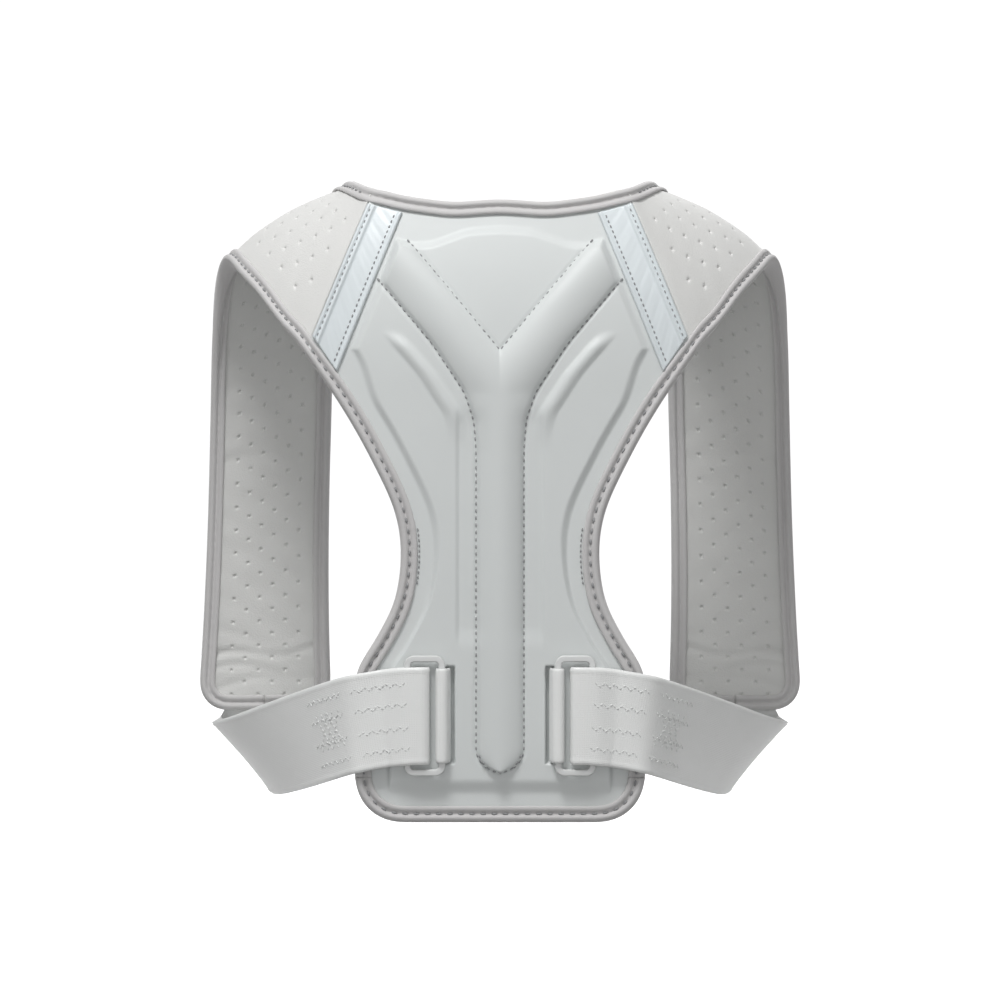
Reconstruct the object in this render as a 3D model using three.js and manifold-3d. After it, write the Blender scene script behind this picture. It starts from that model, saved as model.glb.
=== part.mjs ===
import * as THREE from 'three';
import Module from 'manifold-3d';
import { mergeVertices } from 'three/addons/utils/BufferGeometryUtils.js';

// A posture corrector in the shape it has when worn: a padded back panel, two shoulder
// straps that go over the shoulders and down the chest, and two webbing straps that go
// round the ribs from the front straps to rings on the back panel.
// Millimetres. +Z is up, +Y points to the wearer's chest, +X to the wearer's right.
// In the tables z starts at the panel's lower edge and y at its outer face. The last
// group moves the whole part, so that its origin is where the shoulders carry it.

const GAP = 0.3;

// Back panel
const PANEL_THICK = 6;
const HEM_HALF = 72.5;
const HEM_CORNER_R = 21;
const SIDE_TOP_Z = 61;
const WAIST_HALF = 48.8;
const WAIST_Z = 138;
const YOKE_HALF = 100.3;
const YOKE_Z = 242;
const NECK_HALF = 66.8;
const NECK_Z = 326;
const YOKE_FORWARD = 21;
const YOKE_BEND_Z = 224;
const SIDE_WRAP = 8;
const LOWER_FLANK = [
  { up: 0.18, flare: 0.966 },
  { up: 0.39, flare: 0.56 },
  { up: 0.66, flare: 0.135 },
  { up: 1.0, flare: 0.0 },
];
const UPPER_FLANK = [
  { up: 0.195, flare: 0.06 },
  { up: 0.459, flare: 0.3 },
  { up: 0.72, flare: 0.6 },
  { up: 1.0, flare: 1.0 },
];
const NECKLINE = [
  { across: 0.0, drop: 8.0 },
  { across: 0.37, drop: 9.8 },
  { across: 0.73, drop: 6.4 },
  { across: 1.0, drop: 0.0 },
];

// Moulded relief of the panel's outer face
const PLATEAU_RISE = 2.2;
const PLATEAU_SLOPE = 2.6;
const PLATEAU_MARGIN = 15;
const PLATEAU_BOTTOM_Z = 16;
const WAVE_Z = 307;
const WAVE = [
  { across: 0.0, drop: 0.0 },
  { across: 0.22, drop: 1.2 },
  { across: 0.46, drop: 8.2 },
  { across: 0.6, drop: 8.8 },
  { across: 0.78, drop: 4.5 },
  { across: 1.0, drop: -3.0 },
];
const RIDGE_RISE = 4.2;
const RIDGE_HALF = 12.2;
const RIDGE_END_Z = 24;
const NOTCH_Z = 241;
const ARM_SPREAD = 0.826;
const ARM_OUTER = [
  { z: 205, half: 13.4 },
  { z: 219.5, half: 18.3 },
  { z: 244.5, half: 34.8 },
  { z: 276, half: 61.1 },
  { z: 302, half: 83 },
];
const RIB_RISE = 1.9;
const RIB_HALF = 2.9;
const RIB_LINE = [
  { z: 198, half: 22 },
  { z: 208, half: 23.4 },
  { z: 229, half: 37.4 },
  { z: 252, half: 57.4 },
];
const GUTTER_HALF = 22;
const GUTTER_DEPTH = 0.7;
const GUTTER_BOTTOM_Z = 87;

// Shoulder straps: the two finished edges, from the yoke over the shoulder to the chest
const STRAP_THICK = 5.6;
const STRAP_DEPTH = 172;
const STRAP_END_Z = 43;
const STRAP_CORNER_R = 13;
const STRAP_CROWN = 5;
const CROWN_FULL_AT = 0.3;
const CROWN_FALLS_AT = 0.35;
const CROWN_FALL_SHARE = 0.45;
const STRAP_STEPS = 21;
const SEAM_BLEND_ROWS = 4;
const SEAM_BOW_ROWS = 5;
const CORNER_STEPS = 4;
const ARM_REACH = 173.8;
const ARM_CREST_Z = 292.5;
const NECK_REACH = 96.5;
const NECK_CREST_Z = 332;
const ARM_EDGE = [
  { out: 0.15, fore: 0.075, rise: 0.2, fall: 0 },
  { out: 0.34, fore: 0.2, rise: 0.56, fall: 0 },
  { out: 0.51, fore: 0.335, rise: 0.82, fall: 0 },
  { out: 0.64, fore: 0.47, rise: 1, fall: 0 },
  { out: 0.735, fore: 0.605, rise: 1, fall: 0.018 },
  { out: 0.8, fore: 0.715, rise: 1, fall: 0.068 },
  { out: 0.845, fore: 0.815, rise: 1, fall: 0.158 },
  { out: 0.872, fore: 0.89, rise: 1, fall: 0.272 },
  { out: 0.89, fore: 0.935, rise: 1, fall: 0.397 },
  { out: 0.912, fore: 0.97, rise: 1, fall: 0.561 },
  { out: 0.937, fore: 0.99, rise: 1, fall: 0.713 },
  { out: 0.966, fore: 1, rise: 1, fall: 0.864 },
  { out: 1, fore: 1, rise: 1, fall: 1 },
];
const NECK_EDGE = [
  { out: 0.13, fore: 0.07, rise: 0.45, fall: 0 },
  { out: 0.26, fore: 0.16, rise: 0.86, fall: 0 },
  { out: 0.38, fore: 0.25, rise: 1, fall: 0 },
  { out: 0.5, fore: 0.36, rise: 1, fall: 0.006 },
  { out: 0.63, fore: 0.485, rise: 1, fall: 0.028 },
  { out: 0.75, fore: 0.61, rise: 1, fall: 0.077 },
  { out: 0.85, fore: 0.73, rise: 1, fall: 0.157 },
  { out: 0.935, fore: 0.83, rise: 1, fall: 0.275 },
  { out: 0.985, fore: 0.905, rise: 1, fall: 0.408 },
  { out: 1.04, fore: 0.96, rise: 1, fall: 0.562 },
  { out: 1.065, fore: 0.99, rise: 1, fall: 0.73 },
  { out: 1.05, fore: 1, rise: 1, fall: 0.876 },
  { out: 1, fore: 1, rise: 1, fall: 1 },
];

// Edge binding: a folded tape with a soft roll, a stitched groove and a narrow flange
const TAPE = 1.2;
const ROLL_OUT = 2.4;
const ROLL_RISE = 1.9;
const FLANGE = 6.5;
const SEAM_IN = 4.2;
const PAD_CLEARANCE = 0.4;
const EDGE_CLEARANCE = 0.8;

// Shiny strip along each yoke seam
const STRIP_WIDTH = 20.5;
const STRIP_THICK = 0.8;

// Webbing, rings and the short loops that hold the rings
const WEB_WIDTH = 50;
const WEB_THICK = 1.3;
const WEB_Z = 53.3;
const RING_WIDTH = 21;
const RING_HEIGHT = 61.8;
const RING_BAR = 3.4;
const RING_THICK = 3;
const RING_CORNER_R = 5;
const RING_BEVEL = 0.7;
const RING_INNER_X = 28.2;
const RING_LIFT = 2.4;
const FOLD_LENGTH = 9.6;
const TAIL_END_X = 60;
const TAIL_FALL = 1.6;
const SLIT_REACH = 4.8;
const SLIT_WIDTH = 6.2;
const SLIT_DEPTH = 4;
const LOOP_THICK = 1.2;
const LOOP_WIDTH = 48.5;
const RIB_REACH = 144;
const RIB_DEPTH = 122;
const RIB_DROP = 32;
const FOLD_RISE = 0.9;
const LEAVE_RING = [
  { past: -3.4, rise: 0.1, fall: 0, lean: 0 },
  { past: 1.5, rise: 0.6, fall: 0.5, lean: 0 },
];
const LEAVE_TAIL = [
  { share: 0.37, rise: -0.4, fall: 1.5, lean: 1 },
  { share: 0.65, rise: 0, fall: 2.8, lean: 1 },
];
const EDGE_ROOM = 2;
const TURN_IN = 5;
const TURN_LEAN = 14;
const WEB_END = [
  { inward: 6.2, up: 13, lean: 64 },
  { inward: 15, up: 39, lean: 69 },
];
const WRAP = [
  { out: 0.0, fore: 0.0, fall: 0.14, lean: 2 },
  { out: 0.2, fore: 0.145, fall: 0.31, lean: 7 },
  { out: 0.41, fore: 0.355, fall: 0.51, lean: 14 },
  { out: 0.635, fore: 0.575, fall: 0.72, lean: 22 },
  { out: 0.86, fore: 0.8, fall: 0.92, lean: 32 },
  { out: 1.0, fore: 1.0, fall: 1.0, lean: 41 },
];
const SHOULDER_Y = 76;
const SHOULDER_Z = 310;

const wasm = await Module();
wasm.setup();

const lerp = THREE.MathUtils.lerp;
const smooth = (value) => THREE.MathUtils.smoothstep(value, 0, 1);
const vector = (x, y, z) => new THREE.Vector3(x, y, z);

// Reads a table column between its rows
function read(table, key, value, at) {
  const after = table.findIndex((row) => row[key] >= at);
  if (after === 0) return table[0][value];
  if (after < 0) return table[table.length - 1][value];
  const low = table[after - 1];
  const high = table[after];
  return lerp(low[value], high[value], (at - low[key]) / (high[key] - low[key]));
}

// Makes one closed body whose faces point out
function closedBody(points, triangles) {
  let volume = 0;
  for (const [a, b, c] of triangles) {
    volume += points[a].dot(vector(0, 0, 0).crossVectors(points[b], points[c]));
  }
  const facing = volume < 0 ? triangles.map(([a, b, c]) => [a, c, b]) : triangles;
  const geometry = new THREE.BufferGeometry();
  geometry.setAttribute('position', new THREE.Float32BufferAttribute(points.flatMap((p) => p.toArray()), 3));
  geometry.setIndex(facing.flat());
  geometry.computeVertexNormals();
  return geometry;
}

// Joins rings of points, which all repeat the same flat section, and closes both ends. The
// second half of a section comes back over the first, and its faces are cut along the same
// diagonals, so that a thin wall keeps its thickness where it twists.
function loft(rings, section) {
  const count = section.length;
  const points = rings.flat();
  const triangles = [];
  for (let row = 0; row + 1 < rings.length; row += 1) {
    for (let i = 0; i < count; i += 1) {
      const a = row * count + i;
      const b = row * count + ((i + 1) % count);
      if (i < count / 2) triangles.push([a, b, b + count], [a, b + count, a + count]);
      else triangles.push([a, b, a + count], [b, b + count, a + count]);
    }
  }
  const last = (rings.length - 1) * count;
  for (const [a, b, c] of THREE.ShapeUtils.triangulateShape(section, [])) {
    triangles.push([a, c, b], [a + last, b + last, c + last]);
  }
  if (THREE.ShapeUtils.area(section) < 0) {
    const sides = (rings.length - 1) * count * 2;
    for (let i = sides; i < triangles.length; i += 1) triangles[i].reverse();
  }
  return closedBody(points, triangles);
}

function solid(geometry) {
  const bare = geometry.clone();
  bare.deleteAttribute('normal');
  bare.deleteAttribute('uv');
  const merged = mergeVertices(bare, 1e-4);
  return new wasm.Manifold(new wasm.Mesh({
    numProp: 3,
    vertProperties: new Float32Array(merged.attributes.position.array),
    triVerts: new Uint32Array(merged.index.array),
  }));
}

function fromSolid(manifold) {
  const mesh = manifold.getMesh();
  const geometry = new THREE.BufferGeometry();
  geometry.setAttribute('position', new THREE.Float32BufferAttribute(mesh.vertProperties, 3));
  geometry.setIndex(Array.from(mesh.triVerts));
  geometry.computeVertexNormals();
  return geometry;
}

const FINISH = {
  shell: { color: 0xd2d8d8, roughness: 0.55, metalness: 0 },
  mesh: { color: 0xdcdcd8, roughness: 0.9, metalness: 0 },
  tape: { color: 0xd2cecd, roughness: 0.7, metalness: 0 },
  strip: { color: 0xdfe8ec, roughness: 0.25, metalness: 0.1 },
  web: { color: 0xd5d8d6, roughness: 0.6, metalness: 0 },
  plastic: { color: 0xd3d7d6, roughness: 0.4, metalness: 0 },
};

function piece(name, geometry, finish) {
  const mesh = new THREE.Mesh(geometry, new THREE.MeshStandardMaterial(FINISH[finish]));
  mesh.name = name;
  return mesh;
}

// How far forward the panel's outer face lies: it bends over the upper back and round the sides
function faceY(x, z) {
  const bend = Math.max(0, (z - YOKE_BEND_Z) / (NECK_Z - YOKE_BEND_Z));
  const wrap = smooth((z - WAIST_Z) / (YOKE_Z - WAIST_Z));
  return YOKE_FORWARD * bend * bend + SIDE_WRAP * wrap * (x / YOKE_HALF) ** 2;
}

// The panel's edge from the middle of the hem up to the yoke, as half widths at their heights
function flankEdge() {
  const edge = [];
  for (let i = 0; i <= CORNER_STEPS; i += 1) {
    const turn = (Math.PI / 2) * (i / CORNER_STEPS);
    edge.push({
      half: HEM_HALF - HEM_CORNER_R * (1 - Math.sin(turn)),
      z: HEM_CORNER_R * (1 - Math.cos(turn)),
    });
  }
  const keys = [
    vector(HEM_HALF, 0, HEM_CORNER_R),
    vector(HEM_HALF, 0, lerp(HEM_CORNER_R, SIDE_TOP_Z, 0.6)),
    vector(HEM_HALF, 0, SIDE_TOP_Z),
  ];
  for (const { up, flare } of LOWER_FLANK) {
    keys.push(vector(lerp(WAIST_HALF, HEM_HALF, flare), 0, lerp(SIDE_TOP_Z, WAIST_Z, up)));
  }
  for (const { up, flare } of UPPER_FLANK) {
    keys.push(vector(lerp(WAIST_HALF, YOKE_HALF, flare), 0, lerp(WAIST_Z, YOKE_Z, up)));
  }
  const curve = new THREE.CatmullRomCurve3(keys, false, 'centripetal');
  const flankSteps = 22;
  for (const point of curve.getSpacedPoints(flankSteps).slice(1)) edge.push({ half: point.x, z: point.z });
  return edge;
}

const FLANK = flankEdge();
const seamPoint = (share) => ({
  half: lerp(YOKE_HALF, NECK_HALF, share),
  z: lerp(YOKE_Z, NECK_Z, share),
});
const WAVE_SHARE = 0.81;
const SEAM_SHARES = [0.12, 0.24, 0.36, 0.48, 0.6, 0.7, 0.78, WAVE_SHARE, 0.9, 1];

// Level distance over the shiny strip, which lies along the slanted seam
const STRIP_ACROSS = (STRIP_WIDTH + 2 * GAP)
  * Math.hypot(1, (YOKE_HALF - NECK_HALF) / (NECK_Z - YOKE_Z));

const neckZ = (across) => NECK_Z - read(NECKLINE, 'across', 'drop', across);
const waveZ = (across) => WAVE_Z - read(WAVE, 'across', 'drop', across);

// Height of the row that meets the seam at a share of its length
function yokeRowZ(share, across) {
  const wave = waveZ(across);
  if (share <= WAVE_SHARE) return lerp(YOKE_Z, wave, share / WAVE_SHARE);
  return lerp(wave, neckZ(across), (share - WAVE_SHARE) / (1 - WAVE_SHARE));
}

// Half width of the raised centre at a height, and of the lines that shape it
function plateauHalf(z) {
  if (z >= YOKE_Z) return seamPoint((z - YOKE_Z) / (NECK_Z - YOKE_Z)).half - STRIP_ACROSS;
  const after = FLANK.findIndex((row) => row.z > z);
  const low = FLANK[Math.max(0, after - 1)];
  const high = FLANK[Math.max(1, after)];
  const edge = lerp(low.half, high.half, THREE.MathUtils.clamp((z - low.z) / (high.z - low.z), 0, 1));
  const nearYoke = smooth((z - lerp(WAIST_Z, YOKE_Z, 0.7)) / (0.3 * (YOKE_Z - WAIST_Z)));
  return edge - lerp(PLATEAU_MARGIN, STRIP_ACROSS, nearYoke);
}
const ridgeOuter = (z) => (z < ARM_OUTER[0].z ? RIDGE_HALF : read(ARM_OUTER, 'z', 'half', z));
const ridgeInner = (z) => Math.max(ARM_SPREAD * (z - NOTCH_Z), -ridgeOuter(z));
const ribCentre = (z) => read(RIB_LINE, 'z', 'half', z);

function reliefAt(x, z) {
  const half = Math.abs(x);
  const wave = waveZ(half / seamPoint(WAVE_SHARE).half);
  const inside = Math.min(plateauHalf(z) - half, wave - z, z - PLATEAU_BOTTOM_Z);
  const plateau = smooth(inside / PLATEAU_SLOPE);
  const endInset = Math.max(0, RIDGE_END_Z + RIDGE_HALF - z) / RIDGE_HALF;
  const shrink = Math.sqrt(Math.max(0, 1 - endInset * endInset));
  const outer = ridgeOuter(z) * shrink;
  const inner = Math.max(ridgeInner(z), -outer);
  const along = outer > inner ? (half - inner) / (outer - inner) : -1;
  const ridge = along > 0 && along < 1 ? Math.sin(Math.PI * along) ** 0.6 : 0;
  const offRib = Math.abs(half - ribCentre(z)) / (RIB_HALF * 1.25);
  const ribFade = Math.min(z - RIB_LINE[0].z, RIB_LINE[3].z - z) / (3 * RIB_HALF);
  const rib = Math.max(0, 1 - offRib * offRib) * smooth(ribFade);
  const gutterFade = Math.min(z - GUTTER_BOTTOM_Z, RIB_LINE[1].z - z) / RIDGE_HALF;
  const gutter = half < GUTTER_HALF ? smooth(gutterFade) * (1 - ridge) : 0;
  return plateau * (PLATEAU_RISE + RIDGE_RISE * ridge + RIB_RISE * rib - GUTTER_DEPTH * gutter);
}

// Half widths of the lines that the grid's columns follow, from the edge to beside the middle
function featureLines(z) {
  const outer = ridgeOuter(z);
  const inner = Math.max(ridgeInner(z), 0.15 * outer);
  const rib = Math.max(ribCentre(z), outer + 2 * RIB_HALF);
  const plateau = plateauHalf(z);
  const lines = [
    plateau,
    plateau - PLATEAU_SLOPE,
    rib + RIB_HALF,
    rib,
    rib - RIB_HALF,
    outer,
    lerp(outer, inner, 0.18),
    lerp(outer, inner, 0.5),
    lerp(outer, inner, 0.82),
    inner,
  ];
  const nearNeck = smooth((z - lerp(YOKE_Z, WAVE_Z, 0.65)) / (0.3 * (WAVE_Z - YOKE_Z)));
  return lines.map((line, i) => lerp(line, plateau * (1 - i / lines.length), nearNeck));
}

// One half row of grid points. A row can dip towards the middle, so a line is looked for
// at the height that the row has where they meet.
function halfRow(edgeHalf, heightAt) {
  const spacing = 0.9;
  const row = [{ x: edgeHalf, z: heightAt(edgeHalf) }];
  const count = featureLines(row[0].z).length;
  for (let i = 0; i < count; i += 1) {
    let z = row[0].z;
    let x = 0;
    for (let round = 0; round < 4; round += 1) {
      x = Math.min(featureLines(z)[i], row[i].x - spacing);
      x = Math.max(x, (count - i) * spacing);
      z = heightAt(x);
    }
    row.push({ x, z });
  }
  return row;
}

function panelRows() {
  const rows = FLANK.map(({ half, z }) => ({ side: halfRow(half, () => z), middle: z }));
  for (const share of SEAM_SHARES) {
    const seam = seamPoint(share);
    const heightAt = (x) => yokeRowZ(share, x / seam.half);
    rows.push({ side: halfRow(seam.half, heightAt), middle: heightAt(0) });
  }
  return rows.map(({ side, middle }) => {
    const left = side.map(({ x, z }) => ({ x: -x, z }));
    return [...left, { x: 0, z: middle }, ...side.slice().reverse()];
  });
}

const PANEL_ROWS = panelRows();

// The panel: an outer face with the relief, a plain inner face, and the wall between them
function panelGeometry() {
  const width = PANEL_ROWS[0].length;
  const height = PANEL_ROWS.length;
  const outerPoints = PANEL_ROWS.flat().map(({ x, z }) => vector(x, faceY(x, z) - reliefAt(x, z), z));
  const innerPoints = PANEL_ROWS.flat().map(({ x, z }) => vector(x, faceY(x, z) + PANEL_THICK, z));
  const inner = outerPoints.length;
  const at = (row, column) => row * width + column;
  const triangles = [];
  const wall = (from, to) => triangles.push([from, to, to + inner], [from, to + inner, from + inner]);
  for (let row = 0; row + 1 < height; row += 1) {
    for (let i = 0; i + 1 < width; i += 1) {
      const [a, b, c, d] = [at(row, i), at(row, i + 1), at(row + 1, i + 1), at(row + 1, i)];
      triangles.push([a, b, c], [a, c, d]);
      triangles.push([b + inner, a + inner, d + inner], [b + inner, d + inner, c + inner]);
    }
    wall(at(row, 0), at(row + 1, 0));
    wall(at(row + 1, width - 1), at(row, width - 1));
  }
  for (let i = 0; i + 1 < width; i += 1) {
    wall(at(0, i + 1), at(0, i));
    wall(at(height - 1, i), at(height - 1, i + 1));
  }
  return closedBody([...outerPoints, ...innerPoints], triangles);
}

function box(low, high) {
  const geometry = new THREE.BoxGeometry(high.x - low.x, high.y - low.y, high.z - low.z);
  const middle = vector(0, 0, 0).addVectors(low, high).multiplyScalar(0.5);
  return geometry.translate(middle.x, middle.y, middle.z);
}

function slitSolid(side) {
  const half = LOOP_WIDTH / 2 + 2 * GAP;
  const nearX = RING_INNER_X - SLIT_REACH;
  const xs = [side * nearX, side * (nearX + SLIT_WIDTH)].sort((a, b) => a - b);
  const low = vector(xs[0], -3 * PLATEAU_RISE, WEB_Z - half);
  const high = vector(xs[1], SLIT_DEPTH - PLATEAU_RISE, WEB_Z + half);
  return solid(box(low, high));
}

function backPanel() {
  const cut = solid(panelGeometry()).subtract(slitSolid(-1)).subtract(slitSolid(1));
  return piece('back_panel', fromSolid(cut), 'shell');
}

// How far the panel's bent face stands off a straight seam, at a share of its length from the neck
function seamBow(share) {
  const { half, z } = seamPoint(1 - share);
  return lerp(faceY(NECK_HALF, NECK_Z), faceY(YOKE_HALF, YOKE_Z), share) - faceY(half, z);
}

// The strap's rows: where each ruling meets the two edges, which way is out at each
// edge, and which way the thickness goes. Row 0 is the yoke seam.
const ACROSS = [0, 0.13, 0.38, 0.62, 0.87, 1];
function strapRows() {
  const yoke = vector(-YOKE_HALF, faceY(YOKE_HALF, YOKE_Z) + PANEL_THICK / 2, YOKE_Z);
  const neck = vector(-NECK_HALF, faceY(NECK_HALF, NECK_Z) + PANEL_THICK / 2, NECK_Z);
  const edgeCurve = (start, table, reach, crestZ) => {
    const keys = table.map(({ out, fore, rise, fall }) => vector(
      lerp(start.x, -reach, out),
      lerp(start.y, STRAP_DEPTH, fore),
      lerp(start.z, crestZ, rise) - fall * (crestZ - STRAP_END_Z),
    ));
    return new THREE.CatmullRomCurve3([start, ...keys], false, 'centripetal');
  };
  const armCurve = edgeCurve(yoke, ARM_EDGE, ARM_REACH, ARM_CREST_Z);
  const neckCurve = edgeCurve(neck, NECK_EDGE, NECK_REACH, NECK_CREST_Z);
  const lastSpan = 1 / ARM_EDGE.length;
  const spanLength = armCurve.getPoint(1).distanceTo(armCurve.getPoint(1 - lastSpan));
  const reach = 1 - lastSpan * ((STRAP_CORNER_R + ROLL_OUT) / spanLength);
  const rows = [];
  for (let i = 0; i <= STRAP_STEPS; i += 1) {
    const at = reach * (i / STRAP_STEPS);
    const arm = armCurve.getPoint(at);
    const neckAt = neckCurve.getPoint(at);
    const across = arm.clone().sub(neckAt).normalize();
    const inset = i === 0 ? 0 : ROLL_OUT;
    rows.push({
      at,
      arm: arm.addScaledVector(across, -inset),
      neck: neckAt.addScaledVector(across, inset),
      turn: 0,
    });
  }
  rows.forEach((row, i) => {
    const before = rows[Math.max(0, i - 1)];
    const after = rows[Math.min(rows.length - 1, i + 1)];
    const along = after.arm.clone().add(after.neck).sub(before.arm).sub(before.neck);
    const across = row.arm.clone().sub(row.neck);
    const normal = along.cross(across).normalize();
    row.normal = vector(0, -1, 0).lerp(normal, smooth(i / SEAM_BLEND_ROWS)).normalize();
  });
  const last = rows[rows.length - 1];
  last.normal = vector(0, 1, 0);
  const down = vector(0, 0, -1);
  const across = last.arm.clone().sub(last.neck).normalize();
  for (let i = 1; i <= CORNER_STEPS; i += 1) {
    const turn = (Math.PI / 2) * (i / CORNER_STEPS);
    const inset = STRAP_CORNER_R * (1 - Math.cos(turn));
    const drop = STRAP_CORNER_R * Math.sin(turn);
    rows.push({
      at: last.at,
      arm: last.arm.clone().addScaledVector(across, -inset).addScaledVector(down, drop),
      neck: last.neck.clone().addScaledVector(across, inset).addScaledVector(down, drop),
      normal: last.normal,
      turn,
    });
  }
  for (const row of rows) {
    const rising = smooth(row.at / CROWN_FULL_AT);
    const falling = 1 - smooth((row.at - CROWN_FALLS_AT) / CROWN_FALL_SHARE);
    const crown = STRAP_CROWN * Math.min(rising, falling);
    const follow = 1 - smooth(rows.indexOf(row) / SEAM_BOW_ROWS);
    row.points = ACROSS.map((share) => row.neck.clone().lerp(row.arm, share)
      .addScaledVector(row.normal, crown * (1 - (2 * share - 1) ** 2) + follow * seamBow(share)));
    const out = (from, to) => to.clone().sub(from).normalize();
    const size = ACROSS.length;
    row.armOut = out(row.points[size - 2], row.points[size - 1]).multiplyScalar(Math.cos(row.turn))
      .addScaledVector(down, Math.sin(row.turn));
    row.neckOut = out(row.points[1], row.points[0]).multiplyScalar(Math.cos(row.turn))
      .addScaledVector(down, Math.sin(row.turn));
  }
  return rows;
}

const STRAP_ROWS = strapRows();
const mirror = (point, side) => vector(-side * point.x, point.y, point.z);

function shoulderStrap(side, name) {
  const half = STRAP_THICK / 2;
  const rings = STRAP_ROWS.map((row, i) => {
    const back = i === 0 ? seamFace(row, STRAP_ROWS[1]) : row.points;
    const outer = back.map((p) => p.clone().addScaledVector(row.normal, half));
    const inner = back.map((p) => p.clone().addScaledVector(row.normal, -half)).reverse();
    return [...outer, ...inner].map((p) => mirror(p, side));
  });
  const width = 70;
  const section = [
    ...ACROSS.map((share) => new THREE.Vector2(share * width, half)),
    ...ACROSS.map((share) => new THREE.Vector2(share * width, -half)).reverse(),
  ];
  return piece(`shoulder_strap_${name}`, loft(rings, section), 'mesh');
}

// The strap's end face at the seam, moved a little along the strap to clear the panel
function seamFace(seam, next) {
  return seam.points.map((point, i) => {
    const along = next.points[i].clone().sub(point).normalize();
    return point.clone().addScaledVector(along, 1.5 * GAP);
  });
}

// Section of the binding: out from the edge, and up from the middle of the thickness
function bindingSection(thick) {
  const face = thick / 2 + GAP;
  const half = [
    [EDGE_CLEARANCE, face],
    [-FLANGE, face],
    [-FLANGE, face + 0.8 * TAPE],
    [-SEAM_IN, face + 0.7 * TAPE],
    [-0.45 * SEAM_IN, face + ROLL_RISE],
    [0.5 * ROLL_OUT, face + 0.5 * ROLL_RISE],
    [ROLL_OUT, 0.4 * face],
  ];
  const other = half.map(([out, up]) => [out, -up]).reverse();
  return [...half, ...other].map(([out, up]) => new THREE.Vector2(out, up));
}

function bindingRing(station, section) {
  return section.map(({ x, y }) => station.edge.clone()
    .addScaledVector(station.out, x)
    .addScaledVector(station.normal, y));
}

// Stations of the binding along the panel, with the out direction lying in the bent face
function panelStation(x, z, outX, outZ) {
  const step = 0.5;
  const slopeX = (faceY(x + step, z) - faceY(x - step, z)) / (2 * step);
  const slopeZ = (faceY(x, z + step) - faceY(x, z - step)) / (2 * step);
  const length = Math.hypot(outX, outZ);
  const out = vector(outX / length, (slopeX * outX + slopeZ * outZ) / length, outZ / length);
  return {
    edge: vector(x, faceY(x, z) + PANEL_THICK / 2, z),
    out,
    normal: vector(0, -1, 0),
  };
}

function flankStations() {
  const seamOut = STRAP_ROWS[0].armOut;
  return FLANK.map(({ half, z }, i) => {
    const before = FLANK[Math.max(0, i - 1)];
    const after = FLANK[Math.min(FLANK.length - 1, i + 1)];
    let outX = -(after.z - before.z);
    let outZ = -(after.half - before.half);
    if (i === 0) [outX, outZ] = [0, -1];
    const length = Math.hypot(outX, outZ);
    const near = smooth((i - (FLANK.length - 6)) / 5);
    outX = lerp(outX / length, seamOut.x, near);
    outZ = lerp(outZ / length, seamOut.z, near);
    return panelStation(-half, z, outX, outZ);
  });
}

function neckStations() {
  const top = PANEL_ROWS[PANEL_ROWS.length - 1];
  const seamOut = STRAP_ROWS[0].neckOut;
  return top.map(({ x, z }, i) => {
    const before = top[Math.max(0, i - 1)];
    const after = top[Math.min(top.length - 1, i + 1)];
    const plainX = -(after.z - before.z);
    const plainZ = after.x - before.x;
    const length = Math.hypot(plainX, plainZ);
    const fromEnd = Math.min(i, top.length - 1 - i);
    const near = fromEnd === 0 ? 1 : smooth(1 - Math.abs(NECK_HALF - Math.abs(x)) / 24);
    const outX = lerp(plainX / length, Math.sign(-x || 1) * seamOut.x, near);
    const outZ = lerp(plainZ / length, seamOut.z, near);
    return panelStation(x, z, outX, outZ);
  });
}

const stationOf = (row, edge, out) => ({ edge: row[edge], out: row[out], normal: row.normal });
const mirrorStation = (station) => ({
  edge: mirror(station.edge, 1),
  out: mirror(station.out, 1),
  normal: mirror(station.normal, 1),
});

// The middle of the strap's lower end, where two lengths of binding meet
function endStation(sign) {
  const row = STRAP_ROWS[STRAP_ROWS.length - 1];
  const middle = row.neck.clone().add(row.arm).multiplyScalar(0.5);
  middle.x += sign * GAP;
  return { edge: middle, out: vector(0, 0, -1), normal: row.normal };
}

function binding(name, stations, thicknesses) {
  const rings = stations.map((station, i) => bindingRing(station, bindingSection(thicknesses[i])));
  return piece(name, loft(rings, bindingSection(PANEL_THICK)), 'tape');
}

const SPLIT_ROW = CORNER_STEPS;
const STRAP_SLOT = STRAP_THICK + 2 * PAD_CLEARANCE;
const strapThick = (i) => lerp(PANEL_THICK + 2 * PAD_CLEARANCE, STRAP_SLOT, smooth(i / SEAM_BLEND_ROWS));
function armBinding(side, name) {
  const flank = flankStations().slice(SPLIT_ROW);
  flank[0].edge.z += GAP;
  const strap = STRAP_ROWS.slice(1).map((row) => stationOf(row, 'arm', 'armOut'));
  const stations = [...flank, ...strap, endStation(-1)];
  const thicknesses = [
    ...flank.map(() => PANEL_THICK),
    ...strap.map((_, i) => strapThick(i + 1)),
    STRAP_SLOT,
  ];
  const placed = side < 0 ? stations : stations.map(mirrorStation);
  return binding(`arm_binding_${name}`, placed, thicknesses);
}

function hemBinding() {
  const left = flankStations().slice(0, SPLIT_ROW + 1).reverse();
  const stations = [...left, ...left.map(mirrorStation).reverse()];
  return binding('hem_binding', stations, stations.map(() => PANEL_THICK));
}

function neckBinding() {
  const strap = STRAP_ROWS.slice(1).map((row) => stationOf(row, 'neck', 'neckOut'));
  const left = [...strap, endStation(1)].reverse();
  const thickLeft = [STRAP_SLOT, ...strap.map((_, i) => strapThick(i + 1)).reverse()];
  const neck = neckStations();
  const stations = [...left, ...neck, ...left.map(mirrorStation).reverse()];
  const thicknesses = [...thickLeft, ...neck.map(() => PANEL_THICK), ...thickLeft.slice().reverse()];
  return binding('neck_binding', stations, thicknesses);
}

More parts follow.
